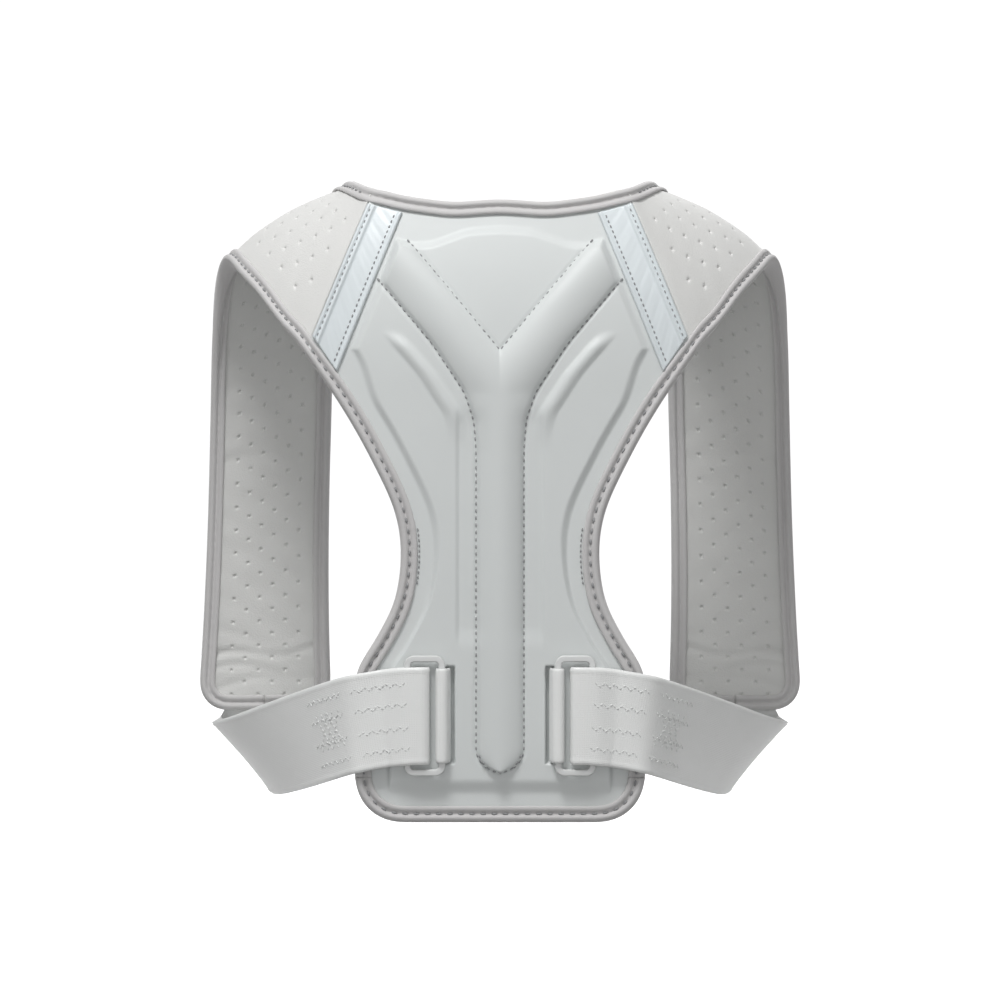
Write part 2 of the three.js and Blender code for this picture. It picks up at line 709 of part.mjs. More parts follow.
// The strip lies on the panel beside the seam and ends short of both flanges
function shinyStrip(side, name) {
  const rows = 7;
  const edgeInset = FLANGE + 2 * GAP;
  const seamStart = vector(YOKE_HALF, 0, YOKE_Z);
  const seamEnd = vector(NECK_HALF, 0, NECK_Z);
  const along = seamEnd.clone().sub(seamStart).normalize();
  const inward = vector(-along.z, 0, along.x);
  const length = seamStart.distanceTo(seamEnd);
  const slant = 0.62;
  const rings = [];
  for (let i = 0; i <= rows; i += 1) {
    const ring = [];
    for (const lift of [GAP, GAP + STRIP_THICK]) {
      const line = [];
      for (const share of [0, 0.5, 1]) {
        const low = edgeInset * 1.1 - slant * STRIP_WIDTH * share;
        const high = length - edgeInset * 1.05 - 0.12 * STRIP_WIDTH * share;
        const place = seamStart.clone().addScaledVector(along, lerp(low, high, i / rows))
          .addScaledVector(inward, GAP + share * (STRIP_WIDTH - 2 * GAP - 1));
        line.push(vector(side * place.x, faceY(place.x, place.z) - lift, place.z));
      }
      ring.push(...(lift === GAP ? line : line.reverse()));
    }
    rings.push(ring);
  }
  const section = [[0, 0], [9, 0], [18, 0], [18, 1], [9, 1], [0, 1]].map(([x, y]) => new THREE.Vector2(x, y));
  return piece(`shiny_strip_${name}`, loft(rings, section), 'strip');
}

const RING_BACK_Y = -PLATEAU_RISE - RING_LIFT;
function strapRing(side, name) {
  const outline = (shape, halfX, halfZ, radius) => {
    shape.moveTo(-halfX + radius, -halfZ);
    shape.lineTo(halfX - radius, -halfZ);
    shape.absarc(halfX - radius, -halfZ + radius, radius, -Math.PI / 2, 0, false);
    shape.lineTo(halfX, halfZ - radius);
    shape.absarc(halfX - radius, halfZ - radius, radius, 0, Math.PI / 2, false);
    shape.lineTo(-halfX + radius, halfZ);
    shape.absarc(-halfX + radius, halfZ - radius, radius, Math.PI / 2, Math.PI, false);
    shape.lineTo(-halfX, -halfZ + radius);
    shape.absarc(-halfX + radius, -halfZ + radius, radius, Math.PI, 1.5 * Math.PI, false);
  };
  const frame = new THREE.Shape();
  outline(frame, RING_WIDTH / 2, RING_HEIGHT / 2, RING_CORNER_R);
  const hole = new THREE.Path();
  outline(hole, RING_WIDTH / 2 - RING_BAR, RING_HEIGHT / 2 - RING_BAR, RING_CORNER_R - RING_BAR / 2);
  frame.holes.push(hole);
  const geometry = new THREE.ExtrudeGeometry(frame, {
    depth: RING_THICK - 2 * RING_BEVEL,
    bevelThickness: RING_BEVEL,
    bevelSize: RING_BEVEL,
    bevelOffset: -RING_BEVEL,
    bevelSegments: 1,
    curveSegments: 3,
  });
  geometry.rotateX(Math.PI / 2);
  const mesh = piece(`strap_ring_${name}`, geometry, 'plastic');
  mesh.position.set(side * (RING_INNER_X + RING_WIDTH / 2), RING_BACK_Y - RING_BEVEL, WEB_Z);
  return mesh;
}

// A flat band along a path of stations: centre, and the direction of its width
function band(stations, width, thick, side) {
  const section = [[-0.5, 0.5], [0.5, 0.5], [0.5, -0.5], [-0.5, -0.5]].map(([x, y]) => new THREE.Vector2(x, y));
  const rings = stations.map(({ centre, lean }, i) => {
    const before = stations[Math.max(0, i - 1)].centre;
    const after = stations[Math.min(stations.length - 1, i + 1)].centre;
    const along = after.clone().sub(before).normalize();
    const radians = THREE.MathUtils.degToRad(lean);
    const down = vector(Math.sin(radians), 0, -Math.cos(radians));
    down.addScaledVector(along, -down.dot(along)).normalize();
    const normal = vector(0, 0, 0).crossVectors(along, down);
    return section.map(({ x, y }) => mirror(
      centre.clone().addScaledVector(down, x * width).addScaledVector(normal, y * thick),
      side,
    ));
  });
  return loft(rings, section);
}

// Short loop of webbing: out of the slit, round the ring's inner bar and back
function ringLoop(side, name) {
  const half = LOOP_THICK / 2;
  const barFront = RING_BACK_Y - RING_THICK;
  const clear = half + GAP;
  const nearX = RING_INNER_X - clear;
  const farX = RING_INNER_X + RING_BAR + clear;
  const root = SLIT_DEPTH - PLATEAU_RISE - GAP;
  const nearLeg = RING_INNER_X - SLIT_REACH / 2 + 0.2;
  const farLeg = nearLeg + LOOP_THICK + GAP;
  const path = [
    [nearLeg, root],
    [nearLeg, -PLATEAU_RISE],
    [nearX - 0.3, RING_BACK_Y - 0.5],
    [nearX, barFront - 0.1],
    [lerp(nearX, farX, 0.25), barFront - clear - 0.4],
    [lerp(nearX, farX, 0.75), barFront - clear - 0.4],
    [farX, barFront],
    [farX + 0.1, RING_BACK_Y - 0.6],
    [lerp(nearX, farX, 0.8), RING_BACK_Y + clear + 0.1],
    [farLeg + 0.4, -PLATEAU_RISE - 0.6],
    [farLeg, root],
  ];
  const stations = path.map(([x, y]) => ({ centre: vector(-x, y, WEB_Z), lean: 0 }));
  return piece(`ring_loop_${name}`, band(stations, LOOP_WIDTH, LOOP_THICK, side), 'web');
}

// Webbing strap: a short tail under the ring's outer bar, a fold through the ring, the
// long stretch round the ribs, and the end sewn to the outer face of the front strap
function webbing(side, name) {
  const half = WEB_THICK / 2;
  const outerBarX = RING_INNER_X + RING_WIDTH;
  const holeX = outerBarX - RING_BAR;
  const tailY = RING_BACK_Y + GAP + half;
  const overY = RING_BACK_Y - RING_THICK - GAP - half - FOLD_RISE;
  const foldX = holeX - FOLD_LENGTH;
  const middleY = (tailY + overY) / 2;
  const radius = (tailY - overY) / 2;
  const restY = tailY - WEB_THICK - 2 * GAP;
  const stations = [];
  const add = (x, y, z, lean) => stations.push({ centre: vector(-x, y, z), lean });
  add(TAIL_END_X, tailY, WEB_Z - TAIL_FALL, 1);
  add(lerp(TAIL_END_X, outerBarX, 0.5), tailY, WEB_Z - TAIL_FALL / 2, 1);
  add(holeX, tailY, WEB_Z, 0);
  for (let i = 0; i <= 6; i += 1) {
    const turn = Math.PI * (i / 6);
    add(foldX + radius * (1 - Math.sin(turn)), middleY + radius * Math.cos(turn), WEB_Z, 0);
  }
  for (const { past, rise, fall, lean } of LEAVE_RING) add(outerBarX + past, overY + rise, WEB_Z - fall, lean);
  const leaveX = HEM_HALF + ROLL_OUT + EDGE_ROOM;
  for (const { share, rise, fall, lean } of LEAVE_TAIL) {
    add(lerp(outerBarX, leaveX, share), restY + rise, WEB_Z - fall, lean);
  }
  const keys = WRAP.map(({ out, fore, fall, lean }) => ({
    place: vector(-lerp(leaveX, RIB_REACH, out), lerp(restY, RIB_DEPTH, fore), WEB_Z - fall * RIB_DROP),
    lean,
  }));
  const frontY = STRAP_DEPTH + STRAP_THICK / 2 + ROLL_RISE + 3 * GAP + half;
  const fold = keys[keys.length - 1];
  for (const share of [1 / 3, 2 / 3, 1]) {
    const turn = (Math.PI / 2) * share;
    const inward = TURN_IN * (1 - Math.cos(turn));
    keys.push({
      place: vector(
        fold.place.x + 0.75 * inward,
        lerp(fold.place.y, frontY, Math.sin(turn)),
        fold.place.z + 0.66 * inward,
      ),
      lean: fold.lean + TURN_LEAN * share,
    });
  }
  const low = keys[keys.length - 1].place;
  for (const { inward, up, lean } of WEB_END) {
    keys.push({ place: vector(low.x + inward, frontY, low.z + up), lean });
  }
  const path = new THREE.CatmullRomCurve3(keys.map(({ place }) => place), false, 'centripetal');
  const steps = 2 * (keys.length - 1);
  for (let i = 0; i <= steps; i += 1) {
    const at = (i / steps) * (keys.length - 1);
    const index = Math.min(Math.floor(at), keys.length - 2);
    const lean = lerp(keys[index].lean, keys[index + 1].lean, at - index);
    stations.push({ centre: path.getPoint(i / steps), lean });
  }
  return piece(`webbing_${name}`, band(stations, WEB_WIDTH, WEB_THICK, side), 'web');
}

const worn = new THREE.Group();
worn.position.set(0, -SHOULDER_Y, -SHOULDER_Z);
worn.add(backPanel(), neckBinding(), hemBinding());
for (const [side, name] of [[-1, 'left'], [1, 'right']]) {
  worn.add(
    shoulderStrap(side, name),
    armBinding(side, name),
    shinyStrip(side, name),
    strapRing(side, name),
    ringLoop(side, name),
    webbing(side, name),
  );
}

const corrector = new THREE.Group();
corrector.add(worn);

export default corrector;
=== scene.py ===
import math

import bpy
import numpy as np
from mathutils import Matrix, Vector


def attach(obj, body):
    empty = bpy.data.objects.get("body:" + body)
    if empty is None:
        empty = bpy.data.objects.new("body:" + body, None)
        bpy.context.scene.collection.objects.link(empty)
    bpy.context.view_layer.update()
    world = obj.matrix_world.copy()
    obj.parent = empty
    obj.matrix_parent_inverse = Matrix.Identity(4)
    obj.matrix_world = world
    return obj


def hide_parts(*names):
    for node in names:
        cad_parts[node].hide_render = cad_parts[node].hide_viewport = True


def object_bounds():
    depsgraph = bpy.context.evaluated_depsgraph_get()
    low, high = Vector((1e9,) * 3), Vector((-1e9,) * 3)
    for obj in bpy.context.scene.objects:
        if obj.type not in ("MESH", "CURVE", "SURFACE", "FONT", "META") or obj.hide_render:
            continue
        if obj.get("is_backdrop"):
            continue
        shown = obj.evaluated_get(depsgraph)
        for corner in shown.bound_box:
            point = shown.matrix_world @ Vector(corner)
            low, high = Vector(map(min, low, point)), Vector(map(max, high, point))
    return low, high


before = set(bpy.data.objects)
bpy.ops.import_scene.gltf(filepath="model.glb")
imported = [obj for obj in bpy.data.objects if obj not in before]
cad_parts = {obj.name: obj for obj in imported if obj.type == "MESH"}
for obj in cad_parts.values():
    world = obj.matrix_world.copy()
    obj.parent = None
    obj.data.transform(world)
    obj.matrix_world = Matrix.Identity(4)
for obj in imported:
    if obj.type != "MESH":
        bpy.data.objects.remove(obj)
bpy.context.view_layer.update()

# Stage: a wide pale floor well below the held object, with a white surround. A soft lamp
# above and to the left models the relief, a weak one in front fills the inner faces, and one
# behind lights the chest side.
FLOOR_Z = -0.4
FLOOR_RADIUS = 3.2
EYE = (0.0, -1.566, -0.146)
LENS = 104.1
LAMP_AIM = (0, 0, -0.15)
LAMPS = (
    # name, place, size, watts
    ("key_lamp", (-0.3, -0.85, 1.3), 0.5, 19.0),
    ("front_lamp", (0.0, -1.9, -0.3), 1.0, 5.0),
    ("back_lamp", (0.3, 1.6, 1.1), 1.2, 12.0),
)

bpy.ops.object.select_all(action="DESELECT")
bpy.ops.mesh.primitive_circle_add(
    vertices=96, radius=FLOOR_RADIUS, fill_type="NGON", location=(0, 0, FLOOR_Z))
floor = bpy.context.object
floor.name = "floor"
floor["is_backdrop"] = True
pale = bpy.data.materials.new("pale_floor")
pale.use_nodes = True
shader = pale.node_tree.nodes["Principled BSDF"]
shader.inputs["Base Color"].default_value = (0.9, 0.9, 0.9, 1)
shader.inputs["Roughness"].default_value = 0.8
shader.inputs["Emission Color"].default_value = (1, 1, 1, 1)
shader.inputs["Emission Strength"].default_value = 0.8
floor.data.materials.append(pale)
floor.visible_diffuse = False

for name, place, size, watts in LAMPS:
    bpy.ops.object.light_add(type="AREA", location=place)
    lamp = bpy.context.object
    lamp.name = name
    lamp.data.shape = "DISK"
    lamp.data.size = size
    lamp.data.energy = watts
    aim = Vector(LAMP_AIM) - Vector(place)
    lamp.rotation_euler = aim.to_track_quat("-Z", "Y").to_euler()

AMBIENT_BELOW, AMBIENT_ABOVE = 0.2, 0.48
world = bpy.data.worlds.new("surround")
world.use_nodes = True
bpy.context.scene.world = world
tree = world.node_tree
surround = tree.nodes["Background"]
sky = tree.nodes.new("ShaderNodeTexCoord")
height = tree.nodes.new("ShaderNodeSeparateXYZ")
ramp = tree.nodes.new("ShaderNodeMapRange")
ramp.inputs["From Min"].default_value = -0.6
ramp.inputs["From Max"].default_value = 0.8
ramp.inputs["To Min"].default_value = AMBIENT_BELOW
ramp.inputs["To Max"].default_value = AMBIENT_ABOVE
tree.links.new(sky.outputs["Generated"], height.inputs[0])
tree.links.new(height.outputs["Z"], ramp.inputs["Value"])
tree.links.new(ramp.outputs[0], surround.inputs["Strength"])
white = tree.nodes.new("ShaderNodeBackground")
white.inputs["Color"].default_value = (1, 1, 1, 1)
white.inputs["Strength"].default_value = 1.05
surround.inputs["Color"].default_value = (1, 1, 1, 1)
seen = tree.nodes.new("ShaderNodeLightPath")
choice = tree.nodes.new("ShaderNodeMixShader")
tree.links.new(seen.outputs["Is Camera Ray"], choice.inputs[0])
tree.links.new(surround.outputs[0], choice.inputs[1])
tree.links.new(white.outputs[0], choice.inputs[2])
tree.links.new(choice.outputs[0], tree.nodes["World Output"].inputs["Surface"])
bpy.context.scene.view_settings.view_transform = "Standard"

bpy.ops.object.camera_add(location=EYE, rotation=(math.pi / 2, 0, 0))
camera = bpy.context.object
camera.data.lens = LENS
camera.data.sensor_width = 36.0
bpy.context.scene.camera = camera

# Back panel: moulded foam between two knitted faces. A raised plateau carries a Y-shaped
# ridge with a short rib beside each arm, and a slit at each side lets the ring loops out.
# Sizes are millimetres from the panel's lower edge and outer face.
MM = 0.001
SHOULDER = np.array((0.0, 76.0, 310.0))
PANEL_THICK = 6.0
HEM_HALF, HEM_CORNER_R, SIDE_TOP_Z = 72.5, 21.0, 61.0
WAIST_HALF, WAIST_Z = 48.8, 138.0
YOKE_HALF, YOKE_Z = 100.3, 242.0
NECK_HALF, NECK_Z = 66.8, 326.0
YOKE_FORWARD, YOKE_BEND_Z, SIDE_WRAP = 21.0, 224.0, 8.0
LOWER_FLANK = ((0.18, 0.966), (0.39, 0.56), (0.66, 0.135), (1.0, 0.0))
UPPER_FLANK = ((0.195, 0.06), (0.459, 0.3), (0.72, 0.6), (1.0, 1.0))
NECKLINE = ((0.0, 8.0), (0.37, 9.8), (0.73, 6.4), (1.0, 1.5))
WAVE_Z, WAVE_READ_Z, WAVE_BLUR = 307.0, 301.0, 0.06
WAVE = ((0.0, 0.0), (0.22, 1.2), (0.46, 8.2), (0.6, 8.8), (0.78, 4.5), (1.0, -3.0))
PLATEAU_RISE, PLATEAU_SLOPE, PLATEAU_MARGIN, PLATEAU_BOTTOM_Z = 2.6, 5.0, 14.0, 12.0
PLATEAU_SLOPE_LOW, SLOPE_CHANGE_Z, SLOPE_CHANGE_SPAN, BOTTOM_GRADE = 2.6, 112.0, 50.0, 0.3
RIDGE_RISE, RIDGE_HALF, RIDGE_END_Z, RIDGE_FULLNESS = 5.0, 12.2, 24.0, 0.62
NOTCH_Z, ARM_SPREAD, ARM_LEAN, ARM_LEAN_SPAN = 241.0, 0.826, 0.28, 30.0
ARM_OUTER = ((190, 12.2), (205, 13.4), (219.5, 18.3), (244.5, 34.8), (276, 61.1), (302, 83))
RIB_RISE, RIB_HALF, RIB_BLUR, RIB_FULLNESS = 1.9, 4.2, 4.0, 1.3
RIB_LINE = ((190, 21.6), (200, 22), (208, 23.8), (229, 37.4), (252, 57.4))
GUTTER_HALF, GUTTER_DEPTH, GUTTER_EDGE = 22.0, 1.1, 1.2
GUTTER_BOTTOM_Z, GUTTER_TOP_Z = 87.0, 214.0
SLIT_X, SLIT_Z, SLIT_WIDE, SLIT_TALL, SLIT_SUNK = 25.7, 53.3, 5.0, 50.4, 4.0
SLIT_WALL, SLIT_END_WALL = 0.6, 0.8
STRIP_WIDTH, GAP = 20.5, 0.3
SEAM_DIP, SEAM_DIP_HALF = 0.75, 1.1
CORNER_SUNK, CORNER_REACH = 2.0, 8.0
PANEL_ROWS, PANEL_COLUMNS, INNER_STRIDE = 361, 221, 10


def to_frame(points):
    return (np.asarray(points, float) - SHOULDER) * MM


def smooth(value):
    value = np.clip(value, 0, 1)
    return value * value * (3 - 2 * value)


def lerp(a, b, share):
    return a + (b - a) * share


def read(table, at):
    rows = np.array(table, float)
    return np.interp(at, rows[:, 0], rows[:, 1])


def read_soft(table, at, blur=5.0):
    # The same table with its corners eased over a short length
    shifts = np.linspace(-1, 1, 9)
    weights = np.cos(shifts * math.pi / 2 * 0.95)
    return sum(w * read(table, at + blur * s) for w, s in zip(weights, shifts)) / weights.sum()


def spline(keys, shares):
    # Smooth curve through the keys, spaced by the square root of their distances
    keys = np.asarray(keys, float)
    chain = np.vstack([2 * keys[0] - keys[1], keys, 2 * keys[-1] - keys[-2]])
    at = np.clip(np.asarray(shares, float), 0, 1) * (len(keys) - 1)
    index = np.minimum(at.astype(int), len(keys) - 2)
    p0, p1, p2, p3 = (chain[index + k] for k in range(4))
    steps = ((p0, p1), (p1, p2), (p2, p3))
    d0, d1, d2 = (np.sqrt(np.linalg.norm(b - a, axis=1))[:, None] for a, b in steps)
    leave = ((p1 - p0) / d0 - (p2 - p0) / (d0 + d1) + (p2 - p1) / d1) * d1
    arrive = ((p2 - p1) / d1 - (p3 - p1) / (d1 + d2) + (p3 - p2) / d2) * d1
    t = (at - index)[:, None]
    bend = -3 * p1 + 3 * p2 - 2 * leave - arrive
    return p1 + leave * t + bend * t**2 + (2 * p1 - 2 * p2 + leave + arrive) * t**3


def lengths(points):
    return np.concatenate([[0], np.cumsum(np.linalg.norm(np.diff(points, axis=0), axis=1))])


def face_y(x, z):
    bend = np.maximum(0, (z - YOKE_BEND_Z) / (NECK_Z - YOKE_BEND_Z))
    wrap = smooth((z - WAIST_Z) / (YOKE_Z - WAIST_Z))
    return YOKE_FORWARD * bend**2 + SIDE_WRAP * wrap * (x / YOKE_HALF) ** 2


flank_keys = [(HEM_HALF, lerp(HEM_CORNER_R, SIDE_TOP_Z, up)) for up in (0, 0.6, 1)]
flank_keys += [(lerp(WAIST_HALF, HEM_HALF, f), lerp(SIDE_TOP_Z, WAIST_Z, up)) for up, f in LOWER_FLANK]
flank_keys += [(lerp(WAIST_HALF, YOKE_HALF, f), lerp(WAIST_Z, YOKE_Z, up)) for up, f in UPPER_FLANK]
flank_curve = spline(flank_keys, np.linspace(0, 1, 400))
corner_turn = np.linspace(0, math.pi / 2, 24, endpoint=False)
hem_corner = np.stack([
    HEM_HALF - HEM_CORNER_R * (1 - np.sin(corner_turn)),
    HEM_CORNER_R * (1 - np.cos(corner_turn)),
], axis=1)
flank = np.vstack([hem_corner, flank_curve])


def flank_half(z):
    return np.interp(z, flank[:, 1], flank[:, 0])


def seam_half(z):
    return lerp(YOKE_HALF, NECK_HALF, (z - YOKE_Z) / (NECK_Z - YOKE_Z))


def plateau_half(z):
    across = (STRIP_WIDTH + 2 * GAP) * math.hypot(1, (YOKE_HALF - NECK_HALF) / (NECK_Z - YOKE_Z))
    near_yoke = smooth((z - lerp(WAIST_Z, YOKE_Z, 0.7)) / (0.3 * (YOKE_Z - WAIST_Z)))
    below = flank_half(z) - lerp(PLATEAU_MARGIN, across, near_yoke)
    return np.where(z >= YOKE_Z, seam_half(z) - across, below)


def ridge_sides(z):
    end = np.maximum(0, RIDGE_END_Z + RIDGE_HALF - z) / RIDGE_HALF
    outer = read_soft(ARM_OUTER, z) * np.sqrt(np.maximum(0, 1 - end**2))
    return np.maximum(ARM_SPREAD * (z - NOTCH_Z), -outer), outer


def relief(x, z):
    half = np.abs(x)
    wave = WAVE_Z - read_soft(WAVE, half / seam_half(WAVE_READ_Z), WAVE_BLUR)
    inside = np.minimum(plateau_half(z) - half, wave - z)
    inside = np.minimum(inside, BOTTOM_GRADE * (z - PLATEAU_BOTTOM_Z))
    slope_share = smooth((z - SLOPE_CHANGE_Z) / SLOPE_CHANGE_SPAN)
    plateau = smooth(inside / lerp(PLATEAU_SLOPE_LOW, PLATEAU_SLOPE, slope_share))
    inner, outer = ridge_sides(z)
    across = np.clip((half - inner) / np.maximum(outer - inner, 0.01), 0, 1)
    lean = smooth((z - NOTCH_Z) / ARM_LEAN_SPAN) * ARM_LEAN
    ridge = np.where(outer > inner, np.sin(math.pi * across ** (1 - lean)) ** RIDGE_FULLNESS, 0)
    off_seam = np.minimum(np.abs(half - outer), np.abs(half - inner)) / SEAM_DIP_HALF
    in_ridge_span = (z > RIDGE_END_Z - 1) & (half > inner - 3) & (half < outer + 3)
    dip = SEAM_DIP * np.exp(-off_seam**2) * in_ridge_span
    off_rib = np.abs(half - read_soft(RIB_LINE, z, RIB_BLUR)) / (RIB_HALF * 1.3)
    rib_fade = np.minimum(0.4 * (z - RIB_LINE[0][0]), RIB_LINE[-1][0] - z) / (2.4 * RIB_HALF)
    rib = np.maximum(0, 1 - off_rib**2) ** RIB_FULLNESS * smooth(rib_fade)
    gutter_fade = np.minimum(z - GUTTER_BOTTOM_Z, GUTTER_TOP_Z - z) / RIDGE_HALF
    gutter = smooth((GUTTER_HALF + GUTTER_EDGE - half) / (2 * GUTTER_EDGE))
    gutter = gutter * smooth(gutter_fade) * (1 - ridge)
    slit = smooth((SLIT_WIDE / 2 - np.abs(half - SLIT_X)) / SLIT_WALL)
    slit = slit * smooth((SLIT_TALL / 2 - np.abs(z - SLIT_Z)) / SLIT_END_WALL)
    shape = PLATEAU_RISE + RIDGE_RISE * ridge + RIB_RISE * rib - GUTTER_DEPTH * gutter - dip
    return plateau * shape - (SLIT_SUNK + PLATEAU_RISE) * slit


def slab(outer, inner, stride=1):
    # Closes two grids of points into one body. The inner grid keeps every stride-th point.
    rows, columns = outer.shape[:2]
    at = np.arange(rows * columns).reshape(rows, columns)
    kept = np.zeros((rows, columns), bool)
    kept[::stride, ::stride] = True
    kept[[0, -1], :] = True
    kept[:, [0, -1]] = True
    low = np.full((rows, columns), -1)
    low[kept] = rows * columns + np.arange(kept.sum())
    points = np.vstack([outer.reshape(-1, 3), inner[kept]])
    quads = np.stack([at[:-1, :-1], at[:-1, 1:], at[1:, 1:], at[1:, :-1]], axis=-1).reshape(-1, 4)
    faces = quads.tolist()
    rim = [*[(0, c) for c in range(columns)], *[(r, columns - 1) for r in range(1, rows)]]
    rim += [*[(rows - 1, c) for c in range(columns - 2, -1, -1)], *[(r, 0) for r in range(rows - 2, 0, -1)]]
    for a, b in zip(rim, rim[1:] + rim[:1]):
        faces.append([at[b], at[a], low[a], low[b]])
    for r in range(0, rows - 1, stride):
        for c in range(0, columns - 1, stride):
            loop = [low[r, k] for k in range(c, c + stride)]
            loop += [low[k, c + stride] for k in range(r, r + stride)]
            loop += [low[r + stride, k] for k in range(c + stride, c, -1)]
            loop += [low[k, c] for k in range(r + stride, r, -1)]
            faces.append([v for v in loop if v >= 0][::-1])
    return points, faces


def make_piece(name, points, faces, material, slot, nodes=()):
    mesh = bpy.data.meshes.new(name)
    mesh.from_pydata(to_frame(points).tolist(), [], [list(map(int, f)) for f in faces])
    mesh.polygons.foreach_set("use_smooth", [True] * len(mesh.polygons))
    mesh.materials.append(material)
    made = bpy.data.objects.new(name, mesh)
    bpy.context.scene.collection.objects.link(made)
    bpy.ops.object.select_all(action="DESELECT")
    bpy.context.view_layer.objects.active = made
    made.select_set(True)
    bpy.ops.object.mode_set(mode="EDIT")
    bpy.ops.mesh.select_all(action="SELECT")
    bpy.ops.mesh.normals_make_consistent(inside=False)
    bpy.ops.object.mode_set(mode="OBJECT")
    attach(made, "root")
    if nodes:
        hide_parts(*nodes)
    return made


def fabric(name, colour, roughness, grain, depth, mottle=0.04, sheen=0.0, kind="NOISE"):
    # A cloth finish: broad soft shade changes, and a fine grain of the given pitch in metres
    material = bpy.data.materials.new(name)
    material.use_nodes = True
    nodes, links = material.node_tree.nodes, material.node_tree.links
    surface = nodes["Principled BSDF"]
    where = nodes.new("ShaderNodeTexCoord")
    cloud = nodes.new("ShaderNodeTexNoise")
    cloud.inputs["Scale"].default_value = 38
    cloud.inputs["Detail"].default_value = 4
    shade = nodes.new("ShaderNodeMapRange")
    shade.inputs["To Min"].default_value = 1 - mottle
    shade.inputs["To Max"].default_value = 1 + mottle
    tint = nodes.new("ShaderNodeVectorMath")
    tint.operation = "SCALE"
    tint.inputs[0].default_value = colour
    links.new(where.outputs["Object"], cloud.inputs["Vector"])
    links.new(cloud.outputs["Fac"], shade.inputs["Value"])
    links.new(shade.outputs[0], tint.inputs["Scale"])
    links.new(tint.outputs[0], surface.inputs["Base Color"])
    if kind == "NOISE":
        weave = nodes.new("ShaderNodeTexNoise")
        weave.inputs["Detail"].default_value = 2
    else:
        weave = nodes.new("ShaderNodeTexVoronoi")
    weave.inputs["Scale"].default_value = 1 / grain
    links.new(where.outputs["Object"], weave.inputs["Vector"])
    bump = nodes.new("ShaderNodeBump")
    bump.inputs["Strength"].default_value = 0.6
    bump.inputs["Distance"].default_value = depth
    links.new(weave.outputs[0], bump.inputs["Height"])
    links.new(bump.outputs[0], surface.inputs["Normal"])
    surface.inputs["Roughness"].default_value = roughness
    surface.inputs["Sheen Weight"].default_value = sheen
    surface.inputs["Sheen Roughness"].default_value = 0.5
    return material


rise = np.linspace(0, NECK_Z, PANEL_ROWS)[:, None]
across = np.linspace(-1, 1, PANEL_COLUMNS)[None, :]
panel_half = np.where(rise <= YOKE_Z, flank_half(rise), seam_half(rise))
panel_x = panel_half * across
yoke_share = np.clip((rise - YOKE_Z) / (NECK_Z - YOKE_Z), 0, 1)
top_z = NECK_Z - read_soft(NECKLINE, np.abs(across), 0.08)
panel_z = np.where(yoke_share > 0, lerp(YOKE_Z, top_z, yoke_share), rise + 0 * across)
panel_y = face_y(panel_x, panel_z)
panel_outer = np.stack([panel_x, panel_y - relief(panel_x, panel_z), panel_z], axis=-1)
panel_inner = np.stack([panel_x, panel_y + PANEL_THICK, panel_z], axis=-1)
# The hidden corners lie a little deeper, so that the neck tape covers them
to_corner = np.hypot(np.abs(panel_x) - NECK_HALF, panel_z - NECK_Z)
panel_outer[..., 1] += CORNER_SUNK * smooth(1 - to_corner / CORNER_REACH)
shell = fabric("moulded_shell_knit", (0.66, 0.685, 0.68), 0.5, 0.0006, 0.00006, 0.02, 0.25)
back_panel = make_piece(
    "back_panel_pad", *slab(panel_outer, panel_inner, INNER_STRIDE), shell, "shell", ["back_panel"])


# Stitches: short lengths of thread that lie in the seams. Each is one small tapered
# bead of thread, and the beads of one seam are joined in one mesh.
STITCH_SIDES = 6
STITCH_PROFILE = ((-0.5, 0.12), (-0.38, 0.75), (0.0, 1.0), (0.38, 0.75), (0.5, 0.12))


def rows_at(at, walked, values):
    # The rows of values that are found at the given distances
    return np.stack([np.interp(at, walked, values[:, k]) for k in range(values.shape[1])], axis=-1)


def facing_back(line):
    return np.tile((0.0, -1.0, 0.0), (len(line), 1))


def stitch_row(line, normals, pitch, length, radius):
    # Points and faces of the stitches along a line
    walked = lengths(line)
    count = max(1, int(walked[-1] / pitch))
    starts = (np.arange(count) + 0.5) * walked[-1] / count
    points, faces = [], []
    for at in starts:
        ends = rows_at(at + length * np.array((-0.5, 0.5)), walked, line)
        up = rows_at(np.array([at]), walked, normals)[0]
        middle, along = ends.mean(0), ends[1] - ends[0]
        side = np.cross(along, up)
        side /= max(np.linalg.norm(side), 1e-9)
        up /= max(np.linalg.norm(up), 1e-9)
        base = len(points)
        for share, fat in STITCH_PROFILE:
            for k in range(STITCH_SIDES):
                turn = 2 * math.pi * k / STITCH_SIDES
                spoke = side * math.cos(turn) + up * math.sin(turn)
                arch = up * radius * 0.5 * (1 - (2 * share) ** 2)
                points.append(middle + along * share + arch + spoke * radius * fat)
        for ring in range(len(STITCH_PROFILE) - 1):
            for k in range(STITCH_SIDES):
                a = base + ring * STITCH_SIDES + k
                b = base + ring * STITCH_SIDES + (k + 1) % STITCH_SIDES
                faces.append((a, b, b + STITCH_SIDES, a + STITCH_SIDES))
        faces.append(tuple(base + k for k in range(STITCH_SIDES))[::-1])
        last = base + (len(STITCH_PROFILE) - 1) * STITCH_SIDES
        faces.append(tuple(last + k for k in range(STITCH_SIDES)))
    return points, faces


def make_stitches(name, rows, material, slot):
    points, faces = [], []
    for row_points, row_faces in rows:
        faces += [[v + len(points) for v in f] for f in row_faces]
        points += row_points
    return make_piece(name, np.array(points), faces, material, slot)


def on_panel(x, z, lift):
    x, z = np.asarray(x, float), np.asarray(z, float)
    return np.stack([x, face_y(x, z) - relief(x, z) - lift, z], axis=-1)


